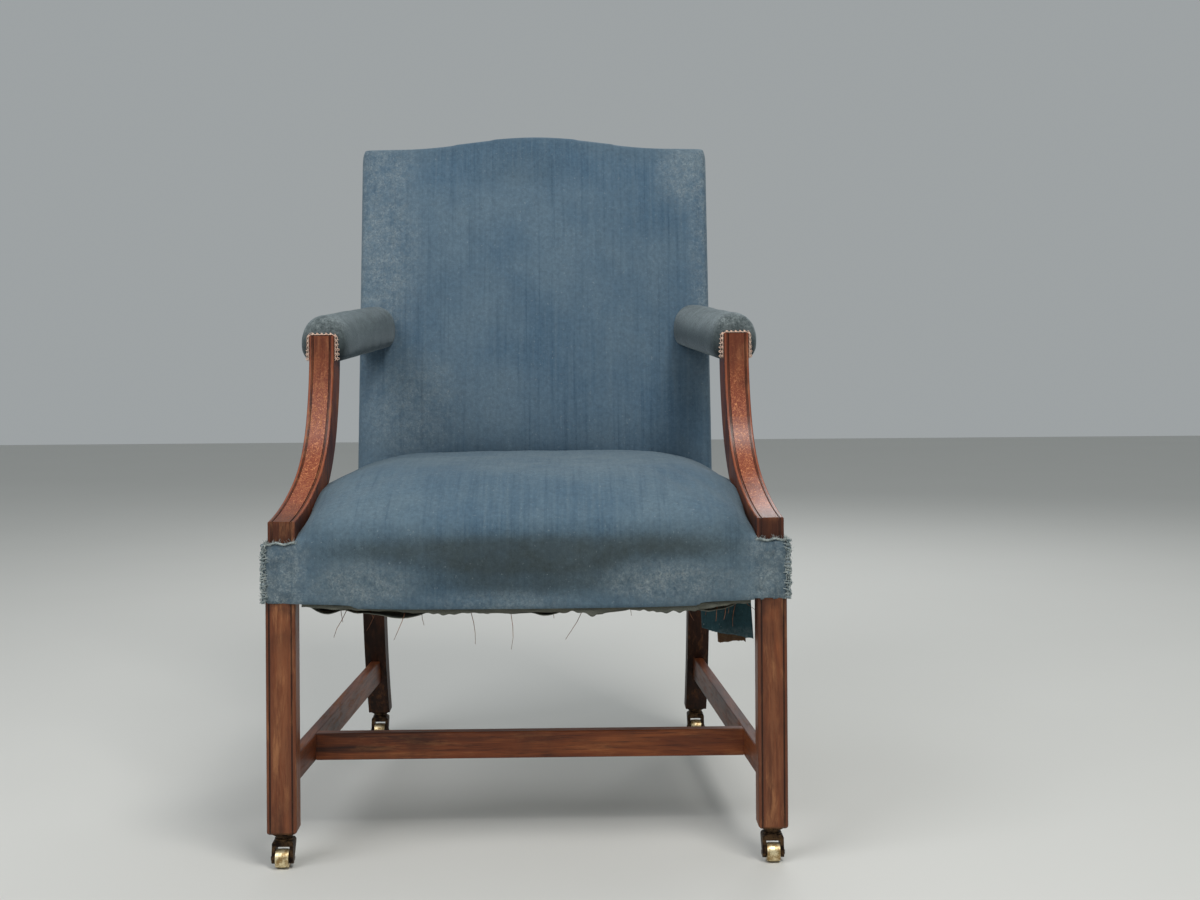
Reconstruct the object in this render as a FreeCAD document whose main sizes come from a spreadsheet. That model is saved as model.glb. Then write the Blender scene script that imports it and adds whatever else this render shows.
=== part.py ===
import FreeCAD, Part
import math
import os
import Sketcher
from FreeCAD import Placement, Rotation, Vector

# Open armchair of the Gainsborough type, in millimetres.
# X runs across the chair, Y from front to back and Z up. The floor is Z = 0.

SIZES = {
    # Overall
    "front_width": 660,          # over the front legs
    "rear_width": 560,           # over the rear posts
    "front_face_y": -335.35,      # front face of the front legs
    "seat_run": 550,             # from that face back to the front of the rear posts
    "castor_rise": 44,           # floor to the underside of the legs
    # Seat frame
    "rail_underside": 338,
    "rail_height": 72,
    "rail_thickness": 28,
    "block_reach": 62,           # corner block along each rail
    "block_height": 36,
    "block_drop": 18,            # rail underside up to the block
    # Front legs
    "leg_size": 38,
    "leg_bead": 4.2,             # rounded bead on the shown corners
    "groove_width": 1.6,
    "groove_depth": 1.2,
    "leg_chamfer": 7,            # inner back corner
    "foot_bevel": 3,
    # Rear posts
    "post_width": 34,
    "post_depth": 40,            # at the seat rail
    "foot_sweep": 80,            # how far the foot stands behind the rail
    "foot_depth": 36,
    "back_rake": 9.3,            # degrees
    "upright_length": 500,       # seat rail top to the underside of the crest
    "upright_thickness": 28,
    "upright_spring": 30,        # height over which the post thins to the upright
    # Stretchers
    "stretcher_underside": 102,
    "stretcher_height": 36,
    "stretcher_thickness": 15,
    "stretcher_inset": 28,       # outer face of the front leg to the stretcher's middle
    "stretcher_ease": 1.2,       # broken edges
    "cross_setback": 132,        # front of the legs to the front of the cross stretcher
    "cross_thickness": 16,
    # Mortise and tenon joints
    "tenon_thickness": 10,
    "tenon_length": 24,          # front and rear rails
    "side_tenon_length": 16,     # side rails, clear of the other tenons
    "shoulder_low": 10,          # under a rail tenon
    "shoulder_high": 28,         # over a rail tenon, clear of the support's dowel
    "thin_tenon": 8,             # stretcher tenons
    "thin_tenon_length": 14,
    "thin_shoulder": 7,
    "stub_length": 9,            # cross stretcher into the side stretchers
    "fit_gap": 0.15,             # around a tenon
    "end_gap": 1,                # past a tenon's end
    "curve_gap": 0.45,           # shoulder to the curved face of a rear leg
    # Arm supports
    "support_width": 35,
    "support_inset": 3,          # outer face of the leg to the support
    "support_setback": 4,        # front face of the leg to the support
    "support_block": 29,         # upright foot of the support
    "support_depth": 38,
    "lower_sweep": 394,          # radii up the front curve
    "middle_sweep": 142,
    "upper_sweep": 307,
    "support_neck": 11,          # straight length at the top
    "support_bead": 5,
    "support_round": 1.8,        # rounded front edges
    "dowel_diameter": 14,
    "dowel_length": 22,
    # Arms
    "arm_rail_width": 26,
    "arm_rail_height": 28,
    "arm_drop": 19,              # support top down to the arm rail's middle
    "arm_slope": 2.6,            # degrees
    "arm_tenon_width": 12,
    "arm_tenon_height": 15,
    "arm_tenon_length": 16,
    "arm_pad_width": 66,
    "arm_pad_above": 49,         # over the arm rail's middle
    "arm_pad_below": 18.5,
    "braid_width": 6,
    "braid_thickness": 2.4,
    # Back
    "crest_shoulder": 567,       # seat rail top to the crest's ends, along the rake
    "crest_rise": 19,
    "crest_half_run": 215,       # middle to where the crest begins to rise
    "bridle_length": 34,
    "lower_rail_start": 62,
    "lower_rail_height": 50,
    "lower_rail_thickness": 24,
    "back_pad_start": 66,
    "back_strip_start": 13,      # cover on the posts' sides under the stuffed back
    "back_pad_edge": 26,         # in front of the frame
    "back_pad_crown": 44,
    "back_pad_corner": 13,
    "back_wrap": 5,              # cover and wadding over the sides and top
    "outside_thickness": 2,
    # Seat
    "cover_thickness": 3.5,
    "cover_drop": 3,             # cover's edge under the rail
    "seat_crown": 90,            # over the rail top
    "seat_shoulder": 66,
    "webbing_width": 50,
    "webbing_thickness": 1.3,
    "hessian_thickness": 0.7,
    "soft_gap": 0.3,             # stuffing to its neighbours
    # Bottom cloth and the loose flap
    "cloth_thickness": 0.8,
    "flap_from_middle": 224,
    "flap_width": 66,
    "flap_drop": 58,
    "flap_setback": 70,
    "flap_thickness": 1.6,
    # Castors
    "wheel_diameter": 24,
    "wheel_width": 16.5,
    "wheel_crown": 0.7,
    "castor_trail": 9,
    "horn_width": 27.2,
    "cheek_thickness": 4.8,
    "horn_length": 23,
    "horn_round": 4,
    "crown_underside": 27,
    "crown_thickness": 7,
    "collar_diameter": 23,
    "boss_radius": 6.5,
    "plate_diameter": 32,
    "plate_thickness": 3,
    "pivot_diameter": 7,
    "pivot_head": 10.6,
    "pivot_head_height": 2.2,
    "axle_diameter": 5,
    "axle_head": 7.6,
    "axle_head_height": 1.2,
    "running_gap": 0.08,         # radial, round the turning pins
    "swivel_gap": 0.3,           # between faces that turn past each other
    "screw_circle": 11.6,        # radius
    "screw_head": 5.4,
    "screw_shank": 2.8,
    "screw_sink": 1.3,
    "screw_length": 14,
    "screw_gap": 0.1,
}

LEFT, RIGHT = -1, 1
SIDE_NAME = {LEFT: "left", RIGHT: "right"}
STRAP_COUNTS = {"seat_long": 5, "seat_cross": 4, "back_long": 4}
SCREW_ANGLES = (90, 210, 330)

# Radius and end angles, in degrees from level, of the arcs up an arm support
SWEEP = (("dims.lower_sweep", 8, 27), ("dims.middle_sweep", 27, 70), ("dims.upper_sweep", 70, 90))

# Dome of the seat: share of the depth, share of the crown, share of the spread over the support feet
SEAT_FORM = ((0, 0.40, 0), (0.03, 0.66, 0), (0.085, 0.86, 0), (0.22, 0.97, 0.6), (0.48, 1, 1),
             (0.78, 0.92, 1), (0.985, 0.66, 1))
# Front of the back: share of the height, share of the crown
BACK_FORM = ((0, 0.72), (0.3, 1), (0.7, 0.96), (1.08, 0.66))
# Nose of the arm pad: distance behind the support's face, share of the full section
ARM_FORM = ((5.6, 0.78), (9, 0.91), (18, 1))

# Places and sizes that many pieces share, written as sheet formulas
HALF_FRONT = "(dims.front_width / 2)"
HALF_REAR = "(dims.rear_width / 2)"
FRONT = "dims.front_face_y"
POST_FACE = "(dims.front_face_y + dims.seat_run)"
RAIL_TOP = "(dims.rail_underside + dims.rail_height)"
TAPER = "((dims.front_width - dims.rear_width) / 2 / dims.seat_run)"
RAIL_TAPER = "((dims.front_width - dims.rear_width) / 2 / (dims.seat_run - dims.leg_size))"
TENON_FOOT = "(dims.rail_underside + dims.shoulder_low)"
TENON_TALL = "(dims.rail_height - dims.shoulder_low - dims.shoulder_high)"
STRETCHER_TOP = "(dims.stretcher_underside + dims.stretcher_height)"
ARM_MIDDLE = "(dims.support_inset + dims.support_width / 2)"
STUFFING_FLOOR = f"({RAIL_TOP} + 2 * dims.webbing_thickness + dims.hessian_thickness + 0.7)"

doc = FreeCAD.newDocument("armchair")
sheet = doc.addObject("Spreadsheet::Sheet", "dims")
for row, (alias, number) in enumerate(SIZES.items(), 1):
    sheet.set(f"A{row}", alias)
    sheet.set(f"B{row}", str(number))
    sheet.setAlias(f"B{row}", alias)
doc.recompute()

finished = []


def size(text):
    """The number that a sheet formula gives."""
    return float(sheet.evalExpression(str(text)))


def keep(item, label):
    """Give a finished piece its name and put it on the list to export."""
    item.Label = label
    finished.append(item)
    return item


# Frames in which pieces are drawn

def world_frame():
    return ("0", "0", "0"), Vector(0, 0, 1), "0"


def side_frame(side):
    """Origin at the outer front corner of a front leg, with Y back along the side rail."""
    base = (f"{side} * {HALF_FRONT}", FRONT, "0")
    return base, Vector(0, 0, side), f"atan({TAPER}) / 1 deg"


def back_frame():
    """Origin on the front of the posts at the rail top, with Z up along the rake."""
    return ("0", POST_FACE, RAIL_TOP), Vector(-1, 0, 0), "dims.back_rake"


def arm_frame(side):
    """Origin where the arm rail leaves the support, with Y back along the sloping arm."""
    base, axis, angle = side_frame(side)
    along_side = Placement(Vector(*[size(part) for part in base]), Rotation(axis, size(angle)))
    slope = Rotation(Vector(1, 0, 0), size("dims.arm_slope"))
    return along_side.multiply(Placement(Vector(0, size(SUPPORT_BACK), size(ARM_FRONT)), slope))


def set_frame(item, frame):
    if isinstance(frame, Placement):
        item.Placement = frame
        return item
    base, axis, angle = frame
    item.Placement = Placement(Vector(*[size(part) for part in base]), Rotation(axis, size(angle)))
    for letter, text in zip("xyz", base):
        item.setExpression(f"Placement.Base.{letter}", text)
    return item


# Sketches and features

def new_body(name, frame=None):
    body = doc.addObject("PartDesign::Body", name)
    return set_frame(body, frame or world_frame())


def origin_feature(body, role):
    return next(feature for feature in body.Origin.OriginFeatures if feature.Role == role)


def arc_between(start, end, radius, turn):
    """Arc of under a half circle; turn is 1 with its centre on the left, or -1."""
    chord = end - start
    left = Vector(-chord.y, chord.x, 0).normalize()
    drop = math.sqrt(radius ** 2 - chord.Length ** 2 / 4)
    centre = (start + end) * 0.5 + left * (turn * drop)
    angles = [math.atan2(point.y - centre.y, point.x - centre.x) for point in (start, end)]
    if turn < 0:
        angles.reverse()
    return Part.ArcOfCircle(Part.Circle(centre, Vector(0, 0, 1), radius), *angles)


def bind(sketch, constraint, text):
    index = sketch.addConstraint(constraint)
    sketch.setExpression(f"Constraints[{index}]", str(text))


def new_sketch(body, name, plane, start):
    sketch = body.newObject("Sketcher::SketchObject", name)
    sketch.AttachmentSupport = [(origin_feature(body, plane), "")]
    sketch.MapMode = "FlatFace"
    sign = "-" if plane == "XZ_Plane" else ""
    sketch.setExpression("AttachmentOffset.Base.z", f"{sign}({start})")
    return sketch


def outline(body, name, plane, corners, start="0"):
    """Closed outline. A corner is (across, up), or (across, up, radius, turn) where an arc follows."""
    sketch = new_sketch(body, name, plane, start)
    points = [Vector(size(corner[0]), size(corner[1]), 0) for corner in corners]
    count = len(corners)
    ends = []
    for index, corner in enumerate(corners):
        here, there = points[index], points[(index + 1) % count]
        if len(corner) == 2:
            sketch.addGeometry(Part.LineSegment(here, there))
            ends.append((1, 2))
        else:
            sketch.addGeometry(arc_between(here, there, size(corner[2]), corner[3]))
            ends.append((1, 2) if corner[3] > 0 else (2, 1))
    for index in range(count):
        following = (index + 1) % count
        sketch.addConstraint(
            Sketcher.Constraint("Coincident", index, ends[index][1], following, ends[following][0]))
    for index, corner in enumerate(corners):
        start_end = ends[index][0]
        bind(sketch, Sketcher.Constraint("DistanceX", -1, 1, index, start_end, points[index].x), corner[0])
        bind(sketch, Sketcher.Constraint("DistanceY", -1, 1, index, start_end, points[index].y), corner[1])
        if len(corner) > 2:
            bind(sketch, Sketcher.Constraint("Radius", index, size(corner[2])), corner[2])
    return sketch


def circle(body, name, plane, centre, diameter, start="0"):
    sketch = new_sketch(body, name, plane, start)
    middle = Vector(size(centre[0]), size(centre[1]), 0)
    sketch.addGeometry(Part.Circle(middle, Vector(0, 0, 1), size(diameter) / 2))
    bind(sketch, Sketcher.Constraint("DistanceX", -1, 1, 0, 3, middle.x), centre[0])
    bind(sketch, Sketcher.Constraint("DistanceY", -1, 1, 0, 3, middle.y), centre[1])
    bind(sketch, Sketcher.Constraint("Diameter", 0, size(diameter)), diameter)
    return sketch


def rectangle(low_across, high_across, low_up, high_up):
    return [(low_across, low_up), (high_across, low_up), (high_across, high_up), (low_across, high_up)]


def centred(middle, width):
    return f"{middle} - ({width}) / 2", f"{middle} + ({width}) / 2"


def extrude(body, kind, name, sketch, plane, length):
    """Pad or pocket that runs from the sketch towards plus X, Y or Z."""
    feature = body.newObject(f"PartDesign::{kind}", name)
    feature.Profile = sketch
    feature.Reversed = (plane == "XZ_Plane") == (kind == "Pad")
    feature.setExpression("Length", str(length))
    return feature


def add(body, name, plane, corners, start, length):
    return extrude(body, "Pad", name, outline(body, name + "_line", plane, corners, start), plane, length)


def cut(body, name, plane, corners, start, length):
    sketch = outline(body, name + "_line", plane, corners, start)
    return extrude(body, "Pocket", name, sketch, plane, length)


def add_round(body, name, plane, centre, diameter, start, length):
    sketch = circle(body, name + "_line", plane, centre, diameter, start)
    return extrude(body, "Pad", name, sketch, plane, length)


def bore(body, name, plane, centre, diameter, start, length):
    sketch = circle(body, name + "_line", plane, centre, diameter, start)
    return extrude(body, "Pocket", name, sketch, plane, length)


def turn_solid(body, name, corners, axis):
    """Solid of revolution from an outline on the XZ plane."""
    feature = body.newObject("PartDesign::Revolution", name)
    feature.Profile = outline(body, name + "_line", "XZ_Plane", corners)
    feature.ReferenceAxis = (origin_feature(body, axis), [""])
    feature.Angle = 360
    return feature


def loft(body, name, plane, sections, ruled=False):
    """Loft through outlines, each given as (start, corners)."""
    sketches = []
    for number, (start, corners) in enumerate(sections, 1):
        sketches.append(outline(body, f"{name}_line_{number}", plane, corners, start))
    feature = body.newObject("PartDesign::AdditiveLoft", name)
    feature.Profile = sketches[0]
    feature.Sections = sketches[1:]
    feature.Ruled = ruled
    return feature


def dress_edges(body, kind, name, amount, chosen):
    """Fillet or chamfer the edges of the body's last feature that a test picks."""
    doc.recompute()
    base = body.Tip
    picked = [f"Edge{n}" for n, edge in enumerate(base.Shape.Edges, 1) if chosen(edge)]
    feature = body.newObject(f"PartDesign::{kind}", name)
    feature.Base = (base, picked)
    feature.setExpression("Radius" if kind == "Fillet" else "Size", amount)
    return feature


def group(items, name, kind="Part::Compound", frame=None):
    result = doc.addObject(kind, name)
    result.Links = items
    return set_frame(result, frame or world_frame())


def cut_away(base, tools, name):
    """Base less the room that its neighbours take."""
    result = doc.addObject("Part::Cut", name)
    result.Base = base
    result.Tool = tools[0] if len(tools) == 1 else group(tools, name + "_room")
    return result


# Formulas for lines that several pieces follow

def side_at(run):
    """Outer face of the seat frame, from the middle of the chair, a distance behind the front."""
    return f"({HALF_FRONT} - max(({run}) - dims.leg_size; 0) * {RAIL_TAPER})"


def side_inner_at(run):
    return f"({side_at(run)} - dims.rail_thickness / cos(atan({RAIL_TAPER})))"


def rear_sweep(height):
    """How far behind the rail the front of a rear leg lies at a height under the rail."""
    fall = "(dims.rail_underside - dims.castor_rise)"
    radius = f"(({fall}^2 + dims.foot_sweep^2) / (2 * dims.foot_sweep))"
    return f"({radius} - sqrt({radius}^2 - (dims.rail_underside - ({height}))^2))"


STRETCHER_END = f"(dims.seat_run + {rear_sweep('dims.stretcher_underside')})"


def stretcher_at(run):
    """Middle of a side stretcher, from the middle of the chair."""
    front = f"({HALF_FRONT} - dims.stretcher_inset)"
    rear = f"({HALF_REAR} - dims.post_width / 2)"
    share = f"((({run}) - dims.leg_size) / ({STRETCHER_END} - dims.leg_size))"
    return f"({front} + ({rear} - {front}) * {share})"


def raked(behind, up):
    """A point of the back frame, as Y and Z of the chair."""
    across = f"{POST_FACE} + ({behind}) * cos(dims.back_rake) + ({up}) * sin(dims.back_rake)"
    height = f"{RAIL_TOP} - ({behind}) * sin(dims.back_rake) + ({up}) * cos(dims.back_rake)"
    return across, height


def swept_edge(behind):
    """Corners up the support's front curve, moved back square to it."""
    run = "dims.support_setback"
    rise = f"{RAIL_TOP} + dims.support_block"
    corners = []
    for radius, low, high in SWEEP:
        corners.append((f"{run} + ({behind}) * sin({low})", f"{rise} - ({behind}) * cos({low})",
                        f"{radius} + ({behind})", 1))
        run += f" + {radius} * (sin({high}) - sin({low}))"
        rise += f" + {radius} * (cos({low}) - cos({high}))"
    corners.append((f"{run} + ({behind})", rise))
    return corners


def backwards(corners):
    """The same line drawn from its far end."""
    points = [corner[:2] for corner in reversed(corners)]
    arcs = [(corner[2], -corner[3]) for corner in reversed(corners[:-1])]
    return [point + arc for point, arc in zip(points, arcs)] + [points[-1]]


SUPPORT_RUN = f"({swept_edge('0')[-1][0]})"
SUPPORT_TOP = f"({swept_edge('0')[-1][1]} + dims.support_neck)"
SUPPORT_BACK = f"({SUPPORT_RUN} + dims.support_depth)"
ARM_FRONT = f"({SUPPORT_TOP} - dims.arm_drop)"
ARM_REAR = f"({ARM_FRONT} + (dims.seat_run - {SUPPORT_BACK}) * tan(dims.arm_slope))"


def support_outline(grow="0"):
    low, start, _ = SWEEP[0]
    depth = f"dims.support_depth + {grow}"
    centre_up = f"(dims.support_block + {low} * cos({start}))"
    heel = f"dims.support_setback - {low} * sin({start}) + sqrt(({low} + {depth})^2 - {centre_up}^2)"
    front = swept_edge(f"0 - {grow}")
    top = f"{SUPPORT_TOP} + {grow}"
    return ([(f"dims.support_setback - {grow}", RAIL_TOP)] + front
            + [(front[-1][0], top), (f"{SUPPORT_RUN} + {depth}", top)]
            + backwards(swept_edge(depth))[:-1] + [(heel, RAIL_TOP)])


def inward(side, near, width):
    """Low end of a width that begins a distance in from the outer face, in a side frame."""
    return near if side == LEFT else f"-({near}) - ({width})"


def post_run(height, near):
    """Where an arm piece's outer edge meets the raked post, in a side frame."""
    face = f"dims.seat_run + (({height}) - {RAIL_TOP}) * tan(dims.back_rake) - dims.fit_gap"
    return f"(({face}) / cos(atan({TAPER})) + ({near}) * {TAPER})"


def crest_line(grow, bottom):
    """Front view of the back with its serpentine top, in the back frame."""
    half = f"({HALF_REAR} + {grow})"
    shoulder = f"(dims.crest_shoulder + {grow})"
    bend = f"{shoulder} + dims.crest_rise / 2"
    radius = "((dims.crest_half_run / 2)^2 + (dims.crest_rise / 2)^2) / dims.crest_rise"
    return [
        (f"-{half}", bottom),
        (half, bottom),
        (half, shoulder),
        ("dims.crest_half_run", shoulder, radius, -1),
        ("dims.crest_half_run / 2", bend, radius, 1),
        ("-dims.crest_half_run / 2", bend, radius, -1),
        ("-dims.crest_half_run", shoulder),
        (f"-{half}", shoulder),
    ]


def castor_place(side, rear):
    """Plan position of a castor's pivot."""
    if rear:
        return (f"{side} * ({HALF_REAR} - dims.post_width / 2)",
                f"({POST_FACE} + dims.foot_sweep + dims.foot_depth / 2)")
    return f"{side} * ({HALF_FRONT} - dims.leg_size / 2)", f"({FRONT} + dims.leg_size / 2)"


def screw_places(side, rear):
    across, back = castor_place(side, rear)
    places = []
    for angle in SCREW_ANGLES:
        places.append((f"{across} + dims.screw_circle * cos({angle})",
                       f"{back} + dims.screw_circle * sin({angle})"))
    return places


# Legs and posts

def rail_mortise(body, name, low_across, high_across, low_back, high_back):
    corners = rectangle(low_across, high_across, low_back, high_back)
    cut(body, name, "XY_Plane", corners, f"{TENON_FOOT} - dims.fit_gap", f"{TENON_TALL} + 2 * dims.fit_gap")


def thin_mortise(body, name, low_across, high_across, low_back, high_back):
    corners = rectangle(low_across, high_across, low_back, high_back)
    tall = "dims.stretcher_height - 2 * dims.thin_shoulder + 2 * dims.fit_gap"
    cut(body, name, "XY_Plane", corners,
        "dims.stretcher_underside + dims.thin_shoulder - dims.fit_gap", tall)


def screw_pilots(body, side, rear):
    for number, place in enumerate(screw_places(side, rear), 1):
        bore(body, f"pilot_{number}", "XY_Plane", place, "dims.screw_shank + 2 * dims.screw_gap",
             "dims.castor_rise - 1", "dims.screw_length + 1")


def leg_section(side):
    """Square leg with beads and grooves on its two shown faces and a chamfered inner corner."""
    full, bead, groove, deep = "dims.leg_size", "dims.leg_bead", "dims.groove_width", "dims.groove_depth"
    far_bead = f"{full} - {bead}"
    far_groove = f"{far_bead} - {groove}"
    near_groove = f"{bead} + {groove}"
    cut_back = f"{full} - dims.leg_chamfer"
    round_corner = (bead, -side)

    def at(inner, back):
        return f"{side} * ({HALF_FRONT} - ({inner}))", f"{FRONT} + {back}"

    return [
        at(0, bead) + round_corner, at(bead, 0), at(bead, deep), at(near_groove, deep), at(near_groove, 0),
        at(far_groove, 0), at(far_groove, deep), at(far_bead, deep), at(far_bead, 0) + round_corner,
        at(full, bead), at(full, cut_back), at(cut_back, full), at(bead, full) + round_corner,
        at(0, far_bead), at(deep, far_bead), at(deep, far_groove), at(0, far_groove),
        at(0, near_groove), at(deep, near_groove), at(deep, bead),
    ]


def bevel_foot(body, side):
    """Bevel round the bottom of a front leg."""
    foot, bevel = "dims.castor_rise", "dims.foot_bevel"
    outer, inner = f"{side} * {HALF_FRONT}", f"{side} * ({HALF_FRONT} - dims.leg_size)"
    front, back = FRONT, f"{FRONT} + dims.leg_size"
    wide = "dims.leg_size + 2"
    low_x = f"{side} * ({HALF_FRONT} - dims.leg_size / 2) - ({wide}) / 2"
    for name, edge, into in (("front", front, 1), ("back", back, -1)):
        corners = [(f"{edge} - {into}", f"{foot} - 1"), (f"{edge} + {into} * ({bevel} + 1)", f"{foot} - 1"),
                   (f"{edge} - {into}", f"{foot} + {bevel} + 1")]
        cut(body, f"bevel_{name}", "YZ_Plane", corners, low_x, wide)
    for name, edge, into in (("outer", outer, -side), ("inner", inner, side)):
        corners = [(f"{edge} - {into}", f"{foot} - 1"), (f"{edge} + {into} * ({bevel} + 1)", f"{foot} - 1"),
                   (f"{edge} - {into}", f"{foot} + {bevel} + 1")]
        cut(body, f"bevel_{name}", "XZ_Plane", corners, f"{FRONT} - 1", wide)


def front_leg(side):
    body = new_body("front_leg_" + SIDE_NAME[side])
    add(body, "shaft", "XY_Plane", leg_section(side), "dims.castor_rise", f"{RAIL_TOP} - dims.castor_rise")
    bevel_foot(body, side)
    inner = f"({HALF_FRONT} - dims.leg_size)"
    low, high = centred(f"({FRONT} + dims.rail_thickness / 2)", "dims.tenon_thickness + 2 * dims.fit_gap")
    rail_mortise(body, "front_rail_mortise", f"{side} * ({inner} - 1)",
                 f"{side} * ({inner} + dims.tenon_length + dims.end_gap)", low, high)
    middle = f"({side} * ({side_at('dims.leg_size')} - dims.rail_thickness / 2))"
    low, high = centred(middle, "dims.tenon_thickness + 2 * dims.fit_gap")
    back = f"{FRONT} + dims.leg_size"
    rail_mortise(body, "side_rail_mortise", low, high,
                 f"{back} - dims.side_tenon_length - dims.end_gap", f"{back} + 1")
    low, high = centred(f"({side} * {stretcher_at('dims.leg_size')})", "dims.thin_tenon + 2 * dims.fit_gap")
    thin_mortise(body, "stretcher_mortise", low, high,
                 f"{back} - dims.thin_tenon_length - dims.end_gap", f"{back} + 1")
    toe = f"atan({TAPER})"
    run = "(dims.support_setback + dims.leg_size / 2 - 4)"
    place = (f"{side} * ({HALF_FRONT} - {ARM_MIDDLE} * cos({toe}) - {run} * sin({toe}))",
             f"{FRONT} - {ARM_MIDDLE} * sin({toe}) + {run} * cos({toe})")
    bore(body, "dowel_hole", "XY_Plane", place, "dims.dowel_diameter + 2 * dims.fit_gap",
         f"{RAIL_TOP} - dims.dowel_length - dims.end_gap", "dims.dowel_length + dims.end_gap + 1")
    screw_pilots(body, side, False)
    return keep(body, "front_leg_" + SIDE_NAME[side])


def post_outline():
    """Side view of a rear leg and its upright, with the bridle tenon at the top."""
    fall = "(dims.rail_underside - dims.castor_rise)"
    back_sweep = "(dims.foot_sweep + dims.foot_depth - dims.post_depth)"
    front_radius = f"({fall}^2 + dims.foot_sweep^2) / (2 * dims.foot_sweep)"
    back_radius = f"({fall}^2 + {back_sweep}^2) / (2 * {back_sweep})"
    heel = f"{POST_FACE} + dims.foot_sweep + dims.foot_depth"
    back = f"{POST_FACE} + dims.post_depth"
    low_t, high_t = centred("(dims.upright_thickness / 2)", "dims.tenon_thickness")
    tip = "dims.upright_length + dims.bridle_length"
    return [
        (f"{POST_FACE} + dims.foot_sweep", "dims.castor_rise"),
        (heel, "dims.castor_rise", back_radius, -1),
        (back, "dims.rail_underside"),
        (back, RAIL_TOP),
        raked("dims.upright_thickness", "dims.upright_spring"),
        raked("dims.upright_thickness", "dims.upright_length"),
        raked(high_t, "dims.upright_length"),
        raked(high_t, tip),
        raked(low_t, tip),
        raked(low_t, "dims.upright_length"),
        raked("0", "dims.upright_length"),
        (POST_FACE, RAIL_TOP),
        (POST_FACE, "dims.rail_underside", front_radius, 1),
    ]


def rear_post(side):
    body = new_body("rear_post_" + SIDE_NAME[side])
    low_x = f"-{HALF_REAR}" if side == LEFT else f"{HALF_REAR} - dims.post_width"
    add(body, "post", "YZ_Plane", post_outline(), low_x, "dims.post_width")
    loose = "dims.tenon_thickness + 2 * dims.fit_gap"
    low, high = centred(f"({side} * ({HALF_REAR} - dims.rail_thickness / 2))", loose)
    rail_mortise(body, "side_rail_mortise", low, high, f"{POST_FACE} - 1",
                 f"{POST_FACE} + dims.side_tenon_length + dims.end_gap")
    inner = f"({HALF_REAR} - dims.post_width)"
    low, high = centred(f"({POST_FACE} + dims.post_depth - dims.rail_thickness / 2)", loose)
    rail_mortise(body, "rear_rail_mortise", f"{side} * ({inner} - 1)",
                 f"{side} * ({inner} + dims.tenon_length + dims.end_gap)", low, high)
    low, high = centred(f"({side} * ({HALF_REAR} - dims.post_width / 2))",
                        "dims.thin_tenon + 2 * dims.fit_gap")
    thin_mortise(body, "stretcher_mortise", low, high, f"{POST_FACE} - 1",
                 f"{FRONT} + {STRETCHER_END} + dims.thin_tenon_length + dims.end_gap")
    lower_rail_mortise(body, side)
    arm_mortise(body, side)
    screw_pilots(body, side, True)
    return keep(body, "rear_post_" + SIDE_NAME[side])


def lower_rail_mortise(body, side):
    low_t, high_t = centred("(dims.upright_thickness / 2)", "dims.tenon_thickness + 2 * dims.fit_gap")
    low_w = "dims.lower_rail_start + dims.thin_shoulder - dims.fit_gap"
    high_w = "dims.lower_rail_start + dims.lower_rail_height - dims.thin_shoulder + dims.fit_gap"
    corners = [raked(low_t, low_w), raked(high_t, low_w), raked(high_t, high_w), raked(low_t, high_w)]
    deep = "dims.tenon_length + dims.end_gap + 1"
    inner = f"({HALF_REAR} - dims.post_width - 1)"
    start = f"{inner}" if side == RIGHT else f"-{inner} - ({deep})"
    cut(body, "lower_rail_mortise", "YZ_Plane", corners, start, deep)


def arm_mortise(body, side):
    """Mortise for the arm rail, widened for the angle at which the arm comes in."""
    tall = "(dims.arm_tenon_height + 2 * dims.fit_gap)"
    face = f"{POST_FACE} + ({ARM_REAR} - {RAIL_TOP}) * tan(dims.back_rake)"
    deep = f"({face} + dims.arm_tenon_length + dims.arm_tenon_height * tan(dims.back_rake) + dims.end_gap)"
    low, high = centred(ARM_REAR, tall)
    corners = rectangle(f"{face} - 12", deep, low, high)
    run = f"({deep} - {FRONT})"
    toe = f"atan({TAPER})"
    middle = f"({side} * ({HALF_FRONT} - {ARM_MIDDLE} * cos({toe}) - {run} * tan({toe})))"
    wide = f"(dims.arm_tenon_width + 2 * dims.arm_tenon_length * {TAPER} + 6 * dims.fit_gap)"
    cut(body, "arm_mortise", "YZ_Plane", corners, f"{middle} - {wide} / 2", wide)


# Seat frame

def level_rail(label, half_length, low_back):
    """Front or rear seat rail with a tenon at each end."""
    body = new_body(label)
    high_back = f"{low_back} + dims.rail_thickness"
    corners = rectangle(f"-{half_length}", half_length, low_back, high_back)
    add(body, "rail", "XY_Plane", corners, "dims.rail_underside", "dims.rail_height")
    reach = f"({half_length} + dims.tenon_length)"
    low, high = centred(f"({low_back} + dims.rail_thickness / 2)", "dims.tenon_thickness")
    add(body, "tenons", "XY_Plane", rectangle(f"-{reach}", reach, low, high), TENON_FOOT, TENON_TALL)
    return keep(body, label)


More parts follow.
